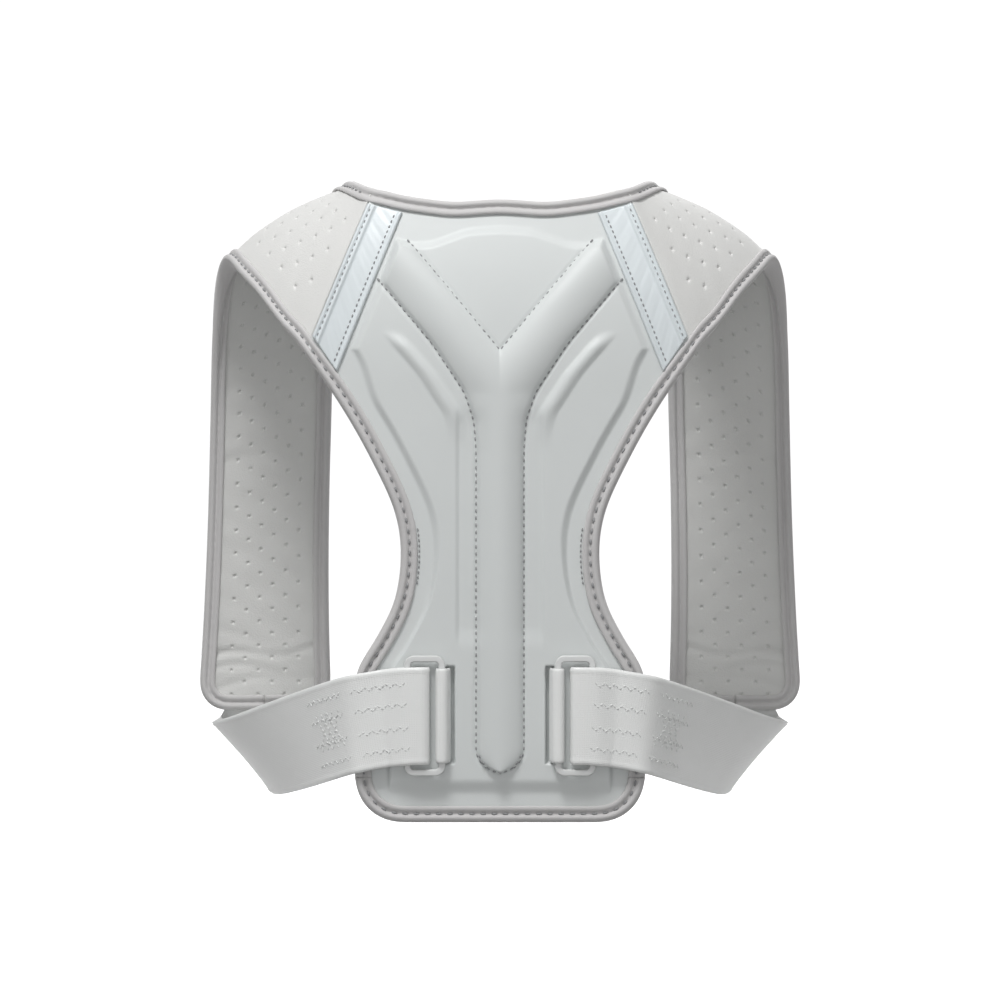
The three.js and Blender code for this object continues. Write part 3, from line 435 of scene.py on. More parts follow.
# Pitch, length and radius of the stitches in each kind of seam
RIDGE_STITCH = (3.7, 2.2, 0.55)
WAIST_STITCH = (2.6, 1.8, 0.4)
WAIST_STITCH_IN, WAIST_STITCH_LOW, WAIST_STITCH_HIGH = 7.3, 120, 150
# The stitches are real thread, but their dark grey colour is painted shade: it stands in for the shadow in
# the stitch holes and grooves.
thread = fabric("thread_with_painted_shade", (0.3, 0.305, 0.31), 0.7, 0.0004, 0.0001, 0.1)
ridge_rows = []
outer_z = np.linspace(RIDGE_END_Z + 1.5, 296, 160)
inner_z = np.linspace(NOTCH_Z, 300, 60)
bottom_turn = np.linspace(-1, 1, 24) * math.pi / 2.3
for side in (-1, 1):
    for heights, which in ((outer_z, 1), (inner_z, 0)):
        line = on_panel(side * ridge_sides(heights)[which], heights, 0.15)
        ridge_rows.append(stitch_row(line, facing_back(line), *RIDGE_STITCH))
end_x = RIDGE_HALF * np.sin(bottom_turn) * 0.92
end_z = RIDGE_END_Z + RIDGE_HALF * (1 - np.cos(bottom_turn)) + 0.2
end_line = on_panel(end_x, end_z, 0.1)
ridge_rows.append(stitch_row(end_line, facing_back(end_line), *RIDGE_STITCH))
waist_z = np.linspace(WAIST_STITCH_LOW, WAIST_STITCH_HIGH, 40)
for side in (-1, 1):
    line = on_panel(side * (flank_half(waist_z) - WAIST_STITCH_IN), waist_z, 0.15)
    ridge_rows.append(stitch_row(line, facing_back(line), *WAIST_STITCH))
make_stitches("ridge_stitches", ridge_rows, thread, "tape")


# Shoulder straps: perforated foam pads that leave the panel at the yoke seams, go over
# the shoulders and hang down the chest. Both faces are knitted and punched with small holes.
STRAP_THICK, STRAP_DEPTH, STRAP_END_Z = 5.6, 172.0, 43.0
STRAP_CORNER_R, STRAP_CROWN, ROLL_OUT = 13.0, 5.0, 2.4
ARM_REACH, ARM_CREST_Z = 173.8, 292.5
NECK_REACH, NECK_CREST_Z = 96.5, 332.0
ARM_EDGE = (
    # out, fore, rise, fall
    (0.15, 0.075, 0.2, 0), (0.34, 0.2, 0.56, 0), (0.51, 0.335, 0.82, 0), (0.64, 0.47, 1, 0),
    (0.735, 0.605, 1, 0.018), (0.8, 0.715, 1, 0.068), (0.845, 0.815, 1, 0.158), (0.872, 0.89, 1, 0.272),
    (0.89, 0.935, 1, 0.397), (0.912, 0.97, 1, 0.561), (0.937, 0.99, 1, 0.713), (0.966, 1, 1, 0.864),
    (1, 1, 1, 1),
)
NECK_EDGE = (
    (0.13, 0.07, 0.45, 0), (0.26, 0.16, 0.86, 0), (0.38, 0.25, 1, 0), (0.5, 0.36, 1, 0.006),
    (0.63, 0.485, 1, 0.028), (0.75, 0.61, 1, 0.077), (0.85, 0.73, 1, 0.157), (0.935, 0.83, 1, 0.275),
    (0.985, 0.905, 1, 0.408), (1.04, 0.96, 1, 0.562), (1.065, 0.99, 1, 0.73), (1.05, 1, 1, 0.876),
    (1, 1, 1, 1),
)
STRAP_STEPS, ROWS_PER_STEP, CORNER_ROWS = 21, 4, 10
HOLE_ACROSS, HOLE_ALONG, HOLE_R, HOLE_DEPTH = 9.1, 7.0, 0.85, 0.7
HOLE_MARGIN, HOLE_START = 0.14, 8.0
STRAP_WIDTH, PAD_PUFF = 82.0, 0.9


def unit(rows):
    return rows / np.maximum(np.linalg.norm(rows, axis=-1, keepdims=True), 1e-9)


def strap_edge(half, z, table, reach, crest_z, shares):
    start = np.array((-half, face_y(half, z) + PANEL_THICK / 2, z))
    keys = [start]
    for out, fore, up, fall in table:
        keys.append((
            lerp(start[0], -reach, out),
            lerp(start[1], STRAP_DEPTH, fore),
            lerp(start[2], crest_z, up) - fall * (crest_z - STRAP_END_Z),
        ))
    return spline(keys, shares)


last_span = 1 / len(ARM_EDGE)
tip = strap_edge(YOKE_HALF, YOKE_Z, ARM_EDGE, ARM_REACH, ARM_CREST_Z, np.array((1 - last_span, 1.0)))
strap_reach = 1 - last_span * (STRAP_CORNER_R + ROLL_OUT) / np.linalg.norm(tip[1] - tip[0])
row_index = np.linspace(0, STRAP_STEPS, STRAP_STEPS * ROWS_PER_STEP + 1)
row_at = strap_reach * row_index / STRAP_STEPS
arm_line = strap_edge(YOKE_HALF, YOKE_Z, ARM_EDGE, ARM_REACH, ARM_CREST_Z, row_at)
neck_line = strap_edge(NECK_HALF, NECK_Z, NECK_EDGE, NECK_REACH, NECK_CREST_Z, row_at)
ruling = unit(arm_line - neck_line)
inset = (ROLL_OUT * np.minimum(row_index, 1))[:, None]
arm_line, neck_line = arm_line - ruling * inset, neck_line + ruling * inset
travel = np.gradient(arm_line + neck_line, axis=0)
strap_up = unit(np.cross(travel, arm_line - neck_line))
strap_up = unit(lerp(np.array((0.0, -1.0, 0.0)), strap_up, smooth(row_index / 4)[:, None]))
strap_up[-1] = (0, 1, 0)
corner = np.linspace(0, math.pi / 2, CORNER_ROWS + 1)[1:]
sideways = ruling[-1] * (STRAP_CORNER_R * (1 - np.cos(corner)))[:, None]
downward = np.array((0, 0, -STRAP_CORNER_R)) * np.sin(corner)[:, None]
arm_line = np.vstack([arm_line, arm_line[-1] - sideways + downward])
neck_line = np.vstack([neck_line, neck_line[-1] + sideways + downward])
strap_up = np.vstack([strap_up, np.tile(strap_up[-1], (CORNER_ROWS, 1))])
strap_turn = np.concatenate([np.zeros(len(row_index)), corner])
row_index = np.concatenate([row_index, STRAP_STEPS + (corner / (math.pi / 2)) * 4])
row_at = np.concatenate([row_at, np.full(CORNER_ROWS, row_at[-1])])
strap_crown = STRAP_CROWN * np.minimum(smooth(row_at / 0.3), 1 - smooth((row_at - 0.35) / 0.45))
seam_follow = 1 - smooth(row_index / 5)
strap_length = lengths((arm_line + neck_line) / 2)


def seam_bow(share):
    z = lerp(NECK_Z, YOKE_Z, share)
    straight = lerp(face_y(NECK_HALF, NECK_Z), face_y(YOKE_HALF, YOKE_Z), share)
    return straight - face_y(seam_half(z), z)


def strap_point(share, along, lift):
    # A point of the left strap: share from its neck edge to its arm edge, and the
    # distance along its middle line, lifted off the middle of its thickness
    share, along = np.broadcast_arrays(np.asarray(share, float), np.asarray(along, float))
    neck, arm, up = (rows_at(along, strap_length, rows) for rows in (neck_line, arm_line, strap_up))
    up = unit(up)
    crown = np.interp(along, strap_length, strap_crown) * (1 - (2 * share - 1) ** 2)
    bow = np.interp(along, strap_length, seam_follow) * seam_bow(share)
    return neck + (arm - neck) * share[..., None] + up * (crown + bow + lift)[..., None]


CREASES = (
    # along the strap, slant across it, depth, width
    (0.893, -6, 0.4, 2.4), (0.918, 5, 1.7, 1.9), (0.945, -6, 0.9, 1.9), (0.962, 6, 0.7, 2.0),
    (0.62, -12, 0.5, 4.0), (0.2, 9, 0.55, 4.5), (0.11, -7, 0.4, 3.5),
)


def pad_lift(share, along, face):
    # Height of the pad's face: puffed between its edges, with shallow creases
    puff = PAD_PUFF * (1 - np.abs(2 * share - 1) ** 5)
    ends = smooth(along / 5) * smooth((strap_length[-1] - along) / 6)
    crease = 0
    for at, slant, depth, width in CREASES:
        path = at * strap_length[-1] + slant * (share - 0.5) + 2.5 * np.sin(share * 7 + at * 40)
        strength = 0.35 + 0.65 * np.sin(share * 2.6 + at * 9) ** 2
        crease = crease + depth * np.exp(-((along - path) / width) ** 2) * strength
    ripple = 0.16 * np.sin(along * 0.31 + share * 5) * np.sin(share * 9 + along * 0.07)
    return STRAP_THICK / 2 + (puff - crease * (1 if face < 0 else 0.35) + ripple) * ends - 0.2


def strap_face(side, face):
    # One face of the pad as a lattice with punched holes. Returns its points, faces and rim.
    columns = 4 * round(STRAP_WIDTH / HOLE_ACROSS)
    rows = 4 * round(strap_length[-1] / HOLE_ALONG)
    share_step, along_step = 1 / columns, strap_length[-1] / rows
    node = np.arange((rows + 1) * (columns + 1)).reshape(rows + 1, columns + 1)
    shares, alongs = np.meshgrid(np.arange(columns + 1) * share_step, np.arange(rows + 1) * along_step)
    flat = [shares.ravel(), alongs.ravel(), np.zeros(shares.size)]
    faces, used = [], np.zeros((rows, columns), bool)
    extra = []
    count = shares.size
    ring_turns = np.arange(8) * math.pi / 4
    for r in range(4, rows - 3, 4):
        for c in range(4, columns - 3, 4):
            in_field = HOLE_MARGIN < c * share_step < 1 - HOLE_MARGIN and r * along_step > HOLE_START
            if (r // 4 + c // 4) % 2 or not in_field:
                continue
            used[r - 1:r + 1, c - 1:c + 1] = True
            around = [node[r + dr, c + dc] for dc, dr in (
                (1, 0), (1, 1), (0, 1), (-1, 1), (-1, 0), (-1, -1), (0, -1), (1, -1))]
            rings = [around]
            for radius, depth in ((HOLE_R * 1.3, 0.1), (HOLE_R, 0.45), (HOLE_R * 0.9, HOLE_DEPTH)):
                for turn in ring_turns:
                    extra.append((
                        c * share_step + radius * math.cos(turn) / STRAP_WIDTH,
                        r * along_step + radius * math.sin(turn),
                        -depth,
                    ))
                rings.append(list(range(count, count + 8)))
                count += 8
            for a, b in zip(rings, rings[1:]):
                faces += [(a[k], a[(k + 1) % 8], b[(k + 1) % 8], b[k]) for k in range(8)]
            faces.append(tuple(rings[-1]))
    free = ~used
    cells = np.stack([node[:-1, :-1], node[:-1, 1:], node[1:, 1:], node[1:, :-1]], axis=-1)
    faces += cells[free].tolist()
    extra = np.array(extra)
    share, along, sink = (np.concatenate([flat[k], extra[:, k]]) for k in range(3))
    points = strap_point(share, along, face * (pad_lift(share, along, face) + sink))
    points[:, 0] *= -side
    rim = [*node[0], *node[1:, -1], *node[-1, -2::-1], *node[-2:0:-1, 0]]
    return points, faces, [int(v) for v in rim]


pad_knit = fabric("perforated_pad_knit", (0.7, 0.7, 0.685), 0.8, 0.0009, 0.00016, 0.03, 0.35, "VORONOI")
# The inner faces take a slightly darker copy of the pad's knit. This is painted shade for the straps' inner
# faces, not a different fabric.
pad_knit_inner_painted_shade = fabric(
    "perforated_pad_knit_inner_painted_shade", (0.68, 0.68, 0.665), 0.85, 0.0009, 0.00016, 0.03, 0.25, "VORONOI")
for side, name in ((-1, "left"), (1, "right")):
    outer_points, outer_faces, outer_rim = strap_face(side, 1)
    inner_points, inner_faces, inner_rim = strap_face(side, -1)
    shift = len(outer_points)
    faces = [*outer_faces, *[[v + shift for v in f][::-1] for f in inner_faces]]
    for k in range(len(outer_rim)):
        a, b = outer_rim[k], outer_rim[(k + 1) % len(outer_rim)]
        c, d = inner_rim[(k + 1) % len(outer_rim)] + shift, inner_rim[k] + shift
        faces.append((a, d, c, b))
    pad = make_piece(f"shoulder_pad_{name}", np.vstack([outer_points, inner_points]), faces,
                     pad_knit, "pad", [f"shoulder_strap_{name}"])
    # The inner faces get the darker copy of the knit, which is painted shade.
    pad.data.materials.append(pad_knit_inner_painted_shade)
    for face in pad.data.polygons[len(outer_faces):len(outer_faces) + len(inner_faces)]:
        face.material_index = 1


# Edge bindings: knitted tape folded over the raw edges and sewn down in one groove, which
# leaves a soft roll outside the seam and a raised, corded flange inside it. The thread shows
# on the outer face, but not along the neckline.
FLANGE, SEAM_IN, EDGE_CLEARANCE, PAD_CLEARANCE = 6.5, 2.5, 0.8, 0.4
ROLL_OVER, STATION_STEP, TAPE_EASE, PUCKER = 2.4, 1.5, 14, 0.18
TAPE_STITCH = (5.6, 3.1, 0.6)


def ease(rows, times):
    # Softens the bends of a line of points, in place
    for _ in range(times):
        rows[1:-1] = (rows[:-2] + 2 * rows[1:-1] + rows[2:]) / 4


def tape_section(thick, pucker):
    # Half the section, from the flange's root over the roll to the middle of the edge
    face = thick / 2 + GAP
    half = [
        (EDGE_CLEARANCE, face), (-FLANGE + 0.3, face), (-FLANGE, face + 0.4), (-FLANGE + 0.15, face + 0.95),
        (-FLANGE + 0.75, face + 1.4), (-FLANGE + 1.7, face + 1.5), (-FLANGE + 2.6, face + 1.15),
        (-FLANGE + 3.1, face + 0.6), (-SEAM_IN - 0.3, face + 0.2 + pucker),
        (-SEAM_IN + 0.35, face + 0.25 + pucker), (-SEAM_IN + 0.8, face + 1.0 + 0.5 * pucker),
        (-1.1, face + 1.75), (-0.3, face + 2.0), (0.7, face + 1.65), (1.55, face + 0.95),
        (2.05, 0.7 * face), (ROLL_OVER, 0.3 * face),
    ]
    return np.array(half + [(out, -up) for out, up in reversed(half)])


def make_binding(name, edge, out, up, thick, nodes, bare_half=0.0):
    # The thread shows only further from the middle than bare_half; nearer, the seam is plain
    walked = lengths(edge)
    count = int(walked[-1] / STATION_STEP)
    at = np.linspace(0, walked[-1], count + 1)
    edge, out, up = (rows_at(at, walked, rows) for rows in (edge, out, up))
    for rows in (edge, out, up):
        ease(rows, TAPE_EASE)
    out, up = unit(out), unit(up)
    up = unit(up - out * (up * out).sum(1, keepdims=True))
    thick = np.interp(at, walked, thick)
    pucker = PUCKER * np.cos(2 * math.pi * at / TAPE_STITCH[0])
    rings = []
    for k in range(len(at)):
        section = tape_section(thick[k], pucker[k])
        rings.append(edge[k] + out[k] * section[:, :1] + up[k] * section[:, 1:])
    points = np.vstack(rings)
    size = len(rings[0])
    faces = []
    for k in range(len(at) - 1):
        for i in range(size):
            j = (i + 1) % size
            faces.append((k * size + i, k * size + j, (k + 1) * size + j, (k + 1) * size + i))
    last = (len(at) - 1) * size
    faces.append(tuple(range(size))[::-1])
    faces.append(tuple(last + i for i in range(size)))
    made = make_piece(name, points, faces, tape_knit, "tape", nodes)
    groove = edge - out * (SEAM_IN - 0.1) + up * (thick / 2 + GAP + 0.45)[:, None]
    sewn = (edge[:, 0] < -bare_half, edge[:, 0] > bare_half) if bare_half else (slice(None),)
    return [stitch_row(groove[part], up[part], *TAPE_STITCH) for part in sewn]


def panel_stations(x, z, out_x, out_z):
    step = 0.5
    slope_x = (face_y(x + step, z) - face_y(x - step, z)) / (2 * step)
    slope_z = (face_y(x, z + step) - face_y(x, z - step)) / (2 * step)
    size = np.hypot(out_x, out_z)
    edge = np.stack([x, face_y(x, z) + PANEL_THICK / 2, z], axis=-1)
    out = np.stack([out_x / size, (slope_x * out_x + slope_z * out_z) / size, out_z / size], axis=-1)
    return edge, out, facing_back(edge)


def mirrored(rows):
    return rows * np.array((-1.0, 1.0, 1.0))


tape_knit = fabric("binding_knit", (0.56, 0.55, 0.548), 0.75, 0.0007, 0.00012, 0.04, 0.3)
arm_side = strap_point(1.0, strap_length, 0.0)
neck_side = strap_point(0.0, strap_length, 0.0)
arm_out = unit(arm_side - strap_point(0.87, strap_length, 0.0))
neck_out = unit(neck_side - strap_point(0.13, strap_length, 0.0))
turned = strap_turn[:, None]
arm_out = arm_out * np.cos(turned) + np.array((0, 0, -1.0)) * np.sin(turned)
neck_out = neck_out * np.cos(turned) + np.array((0, 0, -1.0)) * np.sin(turned)
blend_rows = smooth(row_index / 4)
strap_slot = lerp(PANEL_THICK + 2 * PAD_CLEARANCE, STRAP_THICK + 2 * PAD_CLEARANCE, blend_rows)
on_strap = row_index >= 1

flank_walk = lengths(flank_curve)
flank_at = np.linspace(0, flank_walk[-1], 160)
edge_half = np.interp(flank_at, flank_walk, flank_curve[:, 0])
edge_z = np.interp(flank_at, flank_walk, flank_curve[:, 1])
flank_out_x, flank_out_z = -np.gradient(edge_z), -np.gradient(edge_half)
flank_size = np.hypot(flank_out_x, flank_out_z)
near_seam = smooth((flank_at / flank_walk[-1] * 22 - 17) / 5)
flank_out_x = lerp(flank_out_x / flank_size, arm_out[0, 0], near_seam)
flank_out_z = lerp(flank_out_z / flank_size, arm_out[0, 2], near_seam)
flank_edge, flank_out, flank_up = panel_stations(-edge_half, edge_z, flank_out_x, flank_out_z)
strap_end = (arm_line[-1] + neck_line[-1]) / 2
binding_seams = []
arm_edges = np.vstack([flank_edge, arm_side[on_strap], strap_end - (GAP, 0, 0)])
arm_outs = np.vstack([flank_out, arm_out[on_strap], (0, 0, -1)])
arm_ups = np.vstack([flank_up, strap_up[on_strap], strap_up[-1]])
arm_thick = np.concatenate([np.full(len(flank_edge), PANEL_THICK), strap_slot[on_strap], strap_slot[-1:]])
arm_edges[0, 2] += GAP
for side, name in ((-1, "left"), (1, "right")):
    flip = (lambda rows: rows) if side < 0 else mirrored
    binding_seams += make_binding(f"arm_tape_{name}", flip(arm_edges), flip(arm_outs), flip(arm_ups),
                                  arm_thick, [f"arm_binding_{name}"])

hem_straight = np.linspace(-hem_corner[0, 0], hem_corner[0, 0], 40)[1:-1]
hem_x = np.concatenate([[-HEM_HALF], -hem_corner[::-1, 0], hem_straight, hem_corner[:, 0], [HEM_HALF]])
hem_rise = np.append(hem_corner[:, 1], HEM_CORNER_R)
hem_z = np.concatenate([hem_rise[::-1], 0 * hem_straight, hem_rise])
hem_edge, hem_out, hem_up = panel_stations(hem_x, hem_z, np.gradient(hem_z), -np.gradient(hem_x))
hem_thick = np.full(len(hem_x), PANEL_THICK)
binding_seams += make_binding("hem_tape", hem_edge, hem_out, hem_up, hem_thick, ["hem_binding"])

top_x, top_row_z = panel_x[-1], panel_z[-1]
top_out_x, top_out_z = -np.gradient(top_row_z), np.gradient(top_x)
top_size = np.hypot(top_out_x, top_out_z)
near_end = smooth(1 - np.abs(NECK_HALF - np.abs(top_x)) / 24)
top_out_x = lerp(top_out_x / top_size, np.sign(top_x) * -neck_out[0, 0], near_end)
top_out_z = lerp(top_out_z / top_size, neck_out[0, 2], near_end)
top_edge, top_out, top_up = panel_stations(top_x, top_row_z, top_out_x, top_out_z)
left_edges = np.vstack([strap_end + (GAP, 0, 0), neck_side[on_strap][::-1]])
left_outs = np.vstack([(0, 0, -1), neck_out[on_strap][::-1]])
left_ups = np.vstack([strap_up[-1], strap_up[on_strap][::-1]])
left_thick = np.concatenate([strap_slot[-1:], strap_slot[on_strap][::-1]])
binding_seams += make_binding(
    "neck_tape",
    np.vstack([left_edges, top_edge, mirrored(left_edges[::-1])]),
    np.vstack([left_outs, top_out, mirrored(left_outs[::-1])]),
    np.vstack([left_ups, top_up, mirrored(left_ups[::-1])]),
    np.concatenate([left_thick, np.full(len(top_x), PANEL_THICK), left_thick[::-1]]),
    ["neck_binding"], NECK_HALF + 4,
)
make_stitches("binding_stitches", binding_seams, thread, "tape")


# Shiny strips: satin tape laid along each yoke seam, with a doubled raised seam on the
# pad's side, a fine sewn edge on the panel's side and faint crinkles across it.
STRIP_THICK, STRIP_SLANT, STRIP_LENGTH_SHARE = 0.8, 0.62, 0.86
STRIP_ROWS, STRIP_COLUMNS, STRIP_SEAM_POINTS = 90, 32, 60
# How far in from the seam each stitch row lies, and its pitch, length and radius
STRIP_STITCHES = ((2.55, (3.4, 1.8, 0.4)), (16.8, (3.0, 1.8, 0.4)))
seam_start, seam_end = np.array((YOKE_HALF, YOKE_Z)), np.array((NECK_HALF, NECK_Z))
seam_length = np.linalg.norm(seam_end - seam_start)
seam_along = (seam_end - seam_start) / seam_length
seam_inward = np.array((-seam_along[1], seam_along[0]))


def strip_points(side, share, run, lift):
    edge_inset = FLANGE + 2 * GAP
    low = edge_inset * 1.1 - STRIP_SLANT * STRIP_WIDTH * share
    high = seam_length - edge_inset * 1.05 + 0.1 * STRIP_WIDTH * share
    along = lerp(low, high, run)
    inward = GAP + share * (STRIP_WIDTH - 2 * GAP - 1)
    place = seam_start + seam_along * along[..., None] + seam_inward * inward[..., None]
    x, z = place[..., 0], place[..., 1]
    return np.stack([side * x, face_y(x, z) - lift, z], axis=-1)


def strip_lift(share, run):
    inward = share * STRIP_WIDTH
    doubled = 1.5 * (np.exp(-((inward - 1.2) / 0.9) ** 2) + np.exp(-((inward - 4.0) / 0.9) ** 2))
    sewn = 1.1 * np.exp(-((inward - 19.3) / 0.8) ** 2)
    slope = run * 5 + share
    broad = 0.09 * np.sin(slope * 9.1 + np.sin(slope * 2.3))
    fine = 0.05 * np.sin(slope * 23 + 2 * np.sin(share * 4))
    crinkle = (broad + fine) * np.sin(math.pi * share)
    return GAP + STRIP_THICK + doubled + sewn + crinkle


satin = fabric("satin_tape", (0.72, 0.77, 0.79), 0.32, 0.0012, 0.00005, 0.05)
strip_share, strip_run = np.meshgrid(
    np.linspace(0, 1, STRIP_COLUMNS + 1), np.linspace(0, 1, STRIP_ROWS + 1))
strip_seams = []
for side, name in ((-1, "left"), (1, "right")):
    top = strip_points(side, strip_share, strip_run, strip_lift(strip_share, strip_run))
    under = strip_points(side, strip_share, strip_run, GAP + 0 * strip_share)
    strip = make_piece(f"satin_strip_{name}", *slab(top, under), satin, "strip", [f"shiny_strip_{name}"])
    run = np.linspace(0.02, 0.98, STRIP_SEAM_POINTS)
    for inward, sizes in STRIP_STITCHES:
        share = np.full(len(run), inward / STRIP_WIDTH)
        line = strip_points(side, share, run, strip_lift(share, run) + 0.05)
        strip_seams.append(stitch_row(line, facing_back(line), *sizes))
make_stitches("strip_stitches", strip_seams, thread, "tape")


# Webbing: woven straps 50 mm wide. Each has a short tail behind the ring, folds round the
# ring's outer bar, goes round the ribs and turns up under the front strap. Its end is sewn to
# the strap's outer face with a crossed box, and pale zigzag rows hold the tail by the ring.
WEB_WIDTH, WEB_THICK, WEB_Z = 50.0, 1.3, 53.3
RING_WIDTH, RING_HEIGHT, RING_BAR, RING_THICK = 21.0, 61.8, 3.4, 3.0
RING_INNER_X, RING_LIFT = 28.2, 2.4
RING_BACK_Y = -2.2 - RING_LIFT
FOLD_LENGTH, FOLD_RISE, TAIL_END_X, TAIL_FALL = 9.6, 0.9, 60.0, 1.6
RIB_REACH, RIB_DEPTH, RIB_DROP = 144.0, 122.0, 32.0
WRAP = (
    # out, fore, fall, lean
    (0.0, 0.0, 0.14, 2), (0.2, 0.145, 0.31, 7), (0.41, 0.355, 0.51, 14),
    (0.635, 0.575, 0.72, 22), (0.86, 0.8, 0.92, 32), (1.0, 1.0, 1.0, 41),
)
LEAVE_RING = ((-3.4, 0.1, 0.0, 0), (1.5, 0.6, 0.5, 0))
LEAVE_TAIL = ((0.37, -0.4, 1.5, 1), (0.65, 0.0, 2.8, 1))
WEB_END = ((6.2, 13, 64), (15, 39, 69))
TURN_IN, TURN_LEAN = 5.0, 14.0
BAND_EASE, LONG_BEND_FROM, LONG_BEND_EASE, WEB_STEP = 2, 52.0, 30, 1.6


def web_stations():
    half = WEB_THICK / 2
    outer_bar = RING_INNER_X + RING_WIDTH
    hole_x = outer_bar - RING_BAR
    tail_y = RING_BACK_Y + GAP + half
    over_y = RING_BACK_Y - RING_THICK - GAP - half - FOLD_RISE
    rest_y = tail_y - WEB_THICK - 2 * GAP
    radius, fold_x = (tail_y - over_y) / 2, hole_x - FOLD_LENGTH
    rows = [(-TAIL_END_X, tail_y, WEB_Z - TAIL_FALL, 1)]
    rows.append((-lerp(TAIL_END_X, outer_bar, 0.5), tail_y, WEB_Z - TAIL_FALL / 2, 1))
    rows.append((-hole_x, tail_y, WEB_Z, 0))
    for turn in np.linspace(0, math.pi, 13):
        x = fold_x + radius * (1 - math.sin(turn))
        rows.append((-x, (tail_y + over_y) / 2 + radius * math.cos(turn), WEB_Z, 0))
    for past, up, fall, lean in LEAVE_RING:
        rows.append((-(outer_bar + past), over_y + up, WEB_Z - fall, lean))
    leave_x = HEM_HALF + ROLL_OUT + 2
    for share, up, fall, lean in LEAVE_TAIL:
        rows.append((-lerp(outer_bar, leave_x, share), rest_y + up, WEB_Z - fall, lean))
    keys = [(-lerp(leave_x, RIB_REACH, out), lerp(rest_y, RIB_DEPTH, fore), WEB_Z - fall * RIB_DROP, lean)
            for out, fore, fall, lean in WRAP]
    front_y = STRAP_DEPTH + STRAP_THICK / 2 + 1.9 + 3 * GAP + half
    fold = keys[-1]
    for share in (1 / 3, 2 / 3, 1):
        turn = math.pi / 2 * share
        inward = TURN_IN * (1 - math.cos(turn))
        keys.append((fold[0] + 0.75 * inward, lerp(fold[1], front_y, math.sin(turn)),
                     fold[2] + 0.66 * inward, fold[3] + TURN_LEAN * share))
    low = keys[-1]
    keys += [(low[0] + inward, front_y, low[2] + up, lean) for inward, up, lean in WEB_END]
    places = spline([key[:3] for key in keys], np.linspace(0, 1, 12 * (len(keys) - 1) + 1))
    key_at = np.linspace(0, len(keys) - 1, len(places))
    leans = np.interp(key_at, range(len(keys)), [key[3] for key in keys])
    rows = np.array(rows)
    return np.vstack([rows[:, :3], places]), np.concatenate([rows[:, 3], leans])


def band_frame(centre, lean, step):
    # Evenly spaced places along a flat band, with its width and thickness directions
    walked = lengths(centre)
    at = np.linspace(0, walked[-1], int(walked[-1] / step) + 1)
    place = rows_at(at, walked, centre)
    ease(place, BAND_EASE)
    if at[-1] > LONG_BEND_FROM:
        ease(place[np.searchsorted(at, LONG_BEND_FROM) - 1:], LONG_BEND_EASE)
    lean = np.radians(np.interp(at, walked, lean))
    along = unit(np.gradient(place, axis=0))
    down = np.stack([np.sin(lean), 0 * lean, -np.cos(lean)], axis=-1)
    down = unit(down - along * (down * along).sum(1, keepdims=True))
    return at, place, down, np.cross(along, down)


def woven(name, colour, roughness, rib, depth):
    # Webbing finish: fine ribs along and across the band, read from its own map in metres
    material = bpy.data.materials.new(name)
    material.use_nodes = True
    nodes, links = material.node_tree.nodes, material.node_tree.links
    surface = nodes["Principled BSDF"]
    surface.inputs["Base Color"].default_value = (*colour, 1)
    surface.inputs["Roughness"].default_value = roughness
    surface.inputs["Sheen Weight"].default_value = 0.2
    where = nodes.new("ShaderNodeUVMap")
    where.uv_map = "band"
    ribs = []
    for direction, pitch in (("X", rib), ("Y", rib * 1.4)):
        wave = nodes.new("ShaderNodeTexWave")
        wave.bands_direction = direction
        wave.inputs["Scale"].default_value = 0.314 / pitch
        wave.inputs["Distortion"].default_value = 0.6
        wave.inputs["Detail"].default_value = 1.0
        links.new(where.outputs["UV"], wave.inputs["Vector"])
        ribs.append(wave)
    cloth = nodes.new("ShaderNodeMath")
    cloth.operation = "MULTIPLY"
    links.new(ribs[0].outputs["Fac"], cloth.inputs[0])
    links.new(ribs[1].outputs["Fac"], cloth.inputs[1])
    bump = nodes.new("ShaderNodeBump")
    bump.inputs["Strength"].default_value = 0.7
    bump.inputs["Distance"].default_value = depth
    links.new(cloth.outputs[0], bump.inputs["Height"])
    links.new(bump.outputs[0], surface.inputs["Normal"])
    return material


def make_band(name, centre, lean, width, thick, side, material, node, step, lift=None, columns=50):
    at, place, down, up = band_frame(centre, lean, step)
    share = np.linspace(-0.5, 0.5, columns + 1)
    edge = np.sqrt(np.maximum(0, 1 - (np.abs(share) / 0.5) ** 24))
    rise = thick / 2 * (0.25 + 0.75 * edge)[None, :] * np.ones((len(at), 1))
    extra = lift(at[:, None], share[None, :]) if lift else 0 * rise
    middle = place[:, None] + down[:, None] * (share * width)[None, :, None]
    front = middle + up[:, None] * (rise + extra)[..., None]
    back = middle - up[:, None] * (rise - extra)[..., None]
    for grid in (front, back):
        grid[..., 0] *= -side
    points, faces = slab(front, back)
    made = make_piece(name, points, faces, material, "webbing", [node])
    flat = np.stack(np.broadcast_arrays((share * width)[None, :], at[:, None]), axis=-1).reshape(-1, 2) * MM
    uv = made.data.uv_layers.new(name="band")
    corners = np.empty(len(made.data.loops), int)
    made.data.loops.foreach_get("vertex_index", corners)
    uv.data.foreach_set("uv", np.vstack([flat, flat])[corners].ravel().astype(np.float32))
    return made, at[-1]


def web_lift(at, share):
    # Slight waves of the long stretch, and two firm selvedges
    waves = 0.35 * np.sin(at * 0.045 + 1.0) * np.cos(share * 3.1) * smooth((at - 60) / 30)
    selvedge = 0.3 * np.exp(-((np.abs(share) - 0.465) / 0.016) ** 2)
    return waves + selvedge


def web_line(side, at, share, face):
    # Points of a line on one face of the webbing, and the way out of that face
    walked, *directions = band_frame(web_centre, web_lean, WEB_STEP)
    place, down, up = (rows_at(at, walked, rows) for rows in directions)
    off = face * WEB_THICK / 2 + web_lift(at, share) + 0.05 * face
    line = place + down * (share * WEB_WIDTH)[:, None] + up * off[:, None]
    turn = np.array((-side, 1.0, 1.0))
    return line * turn, up * face * turn


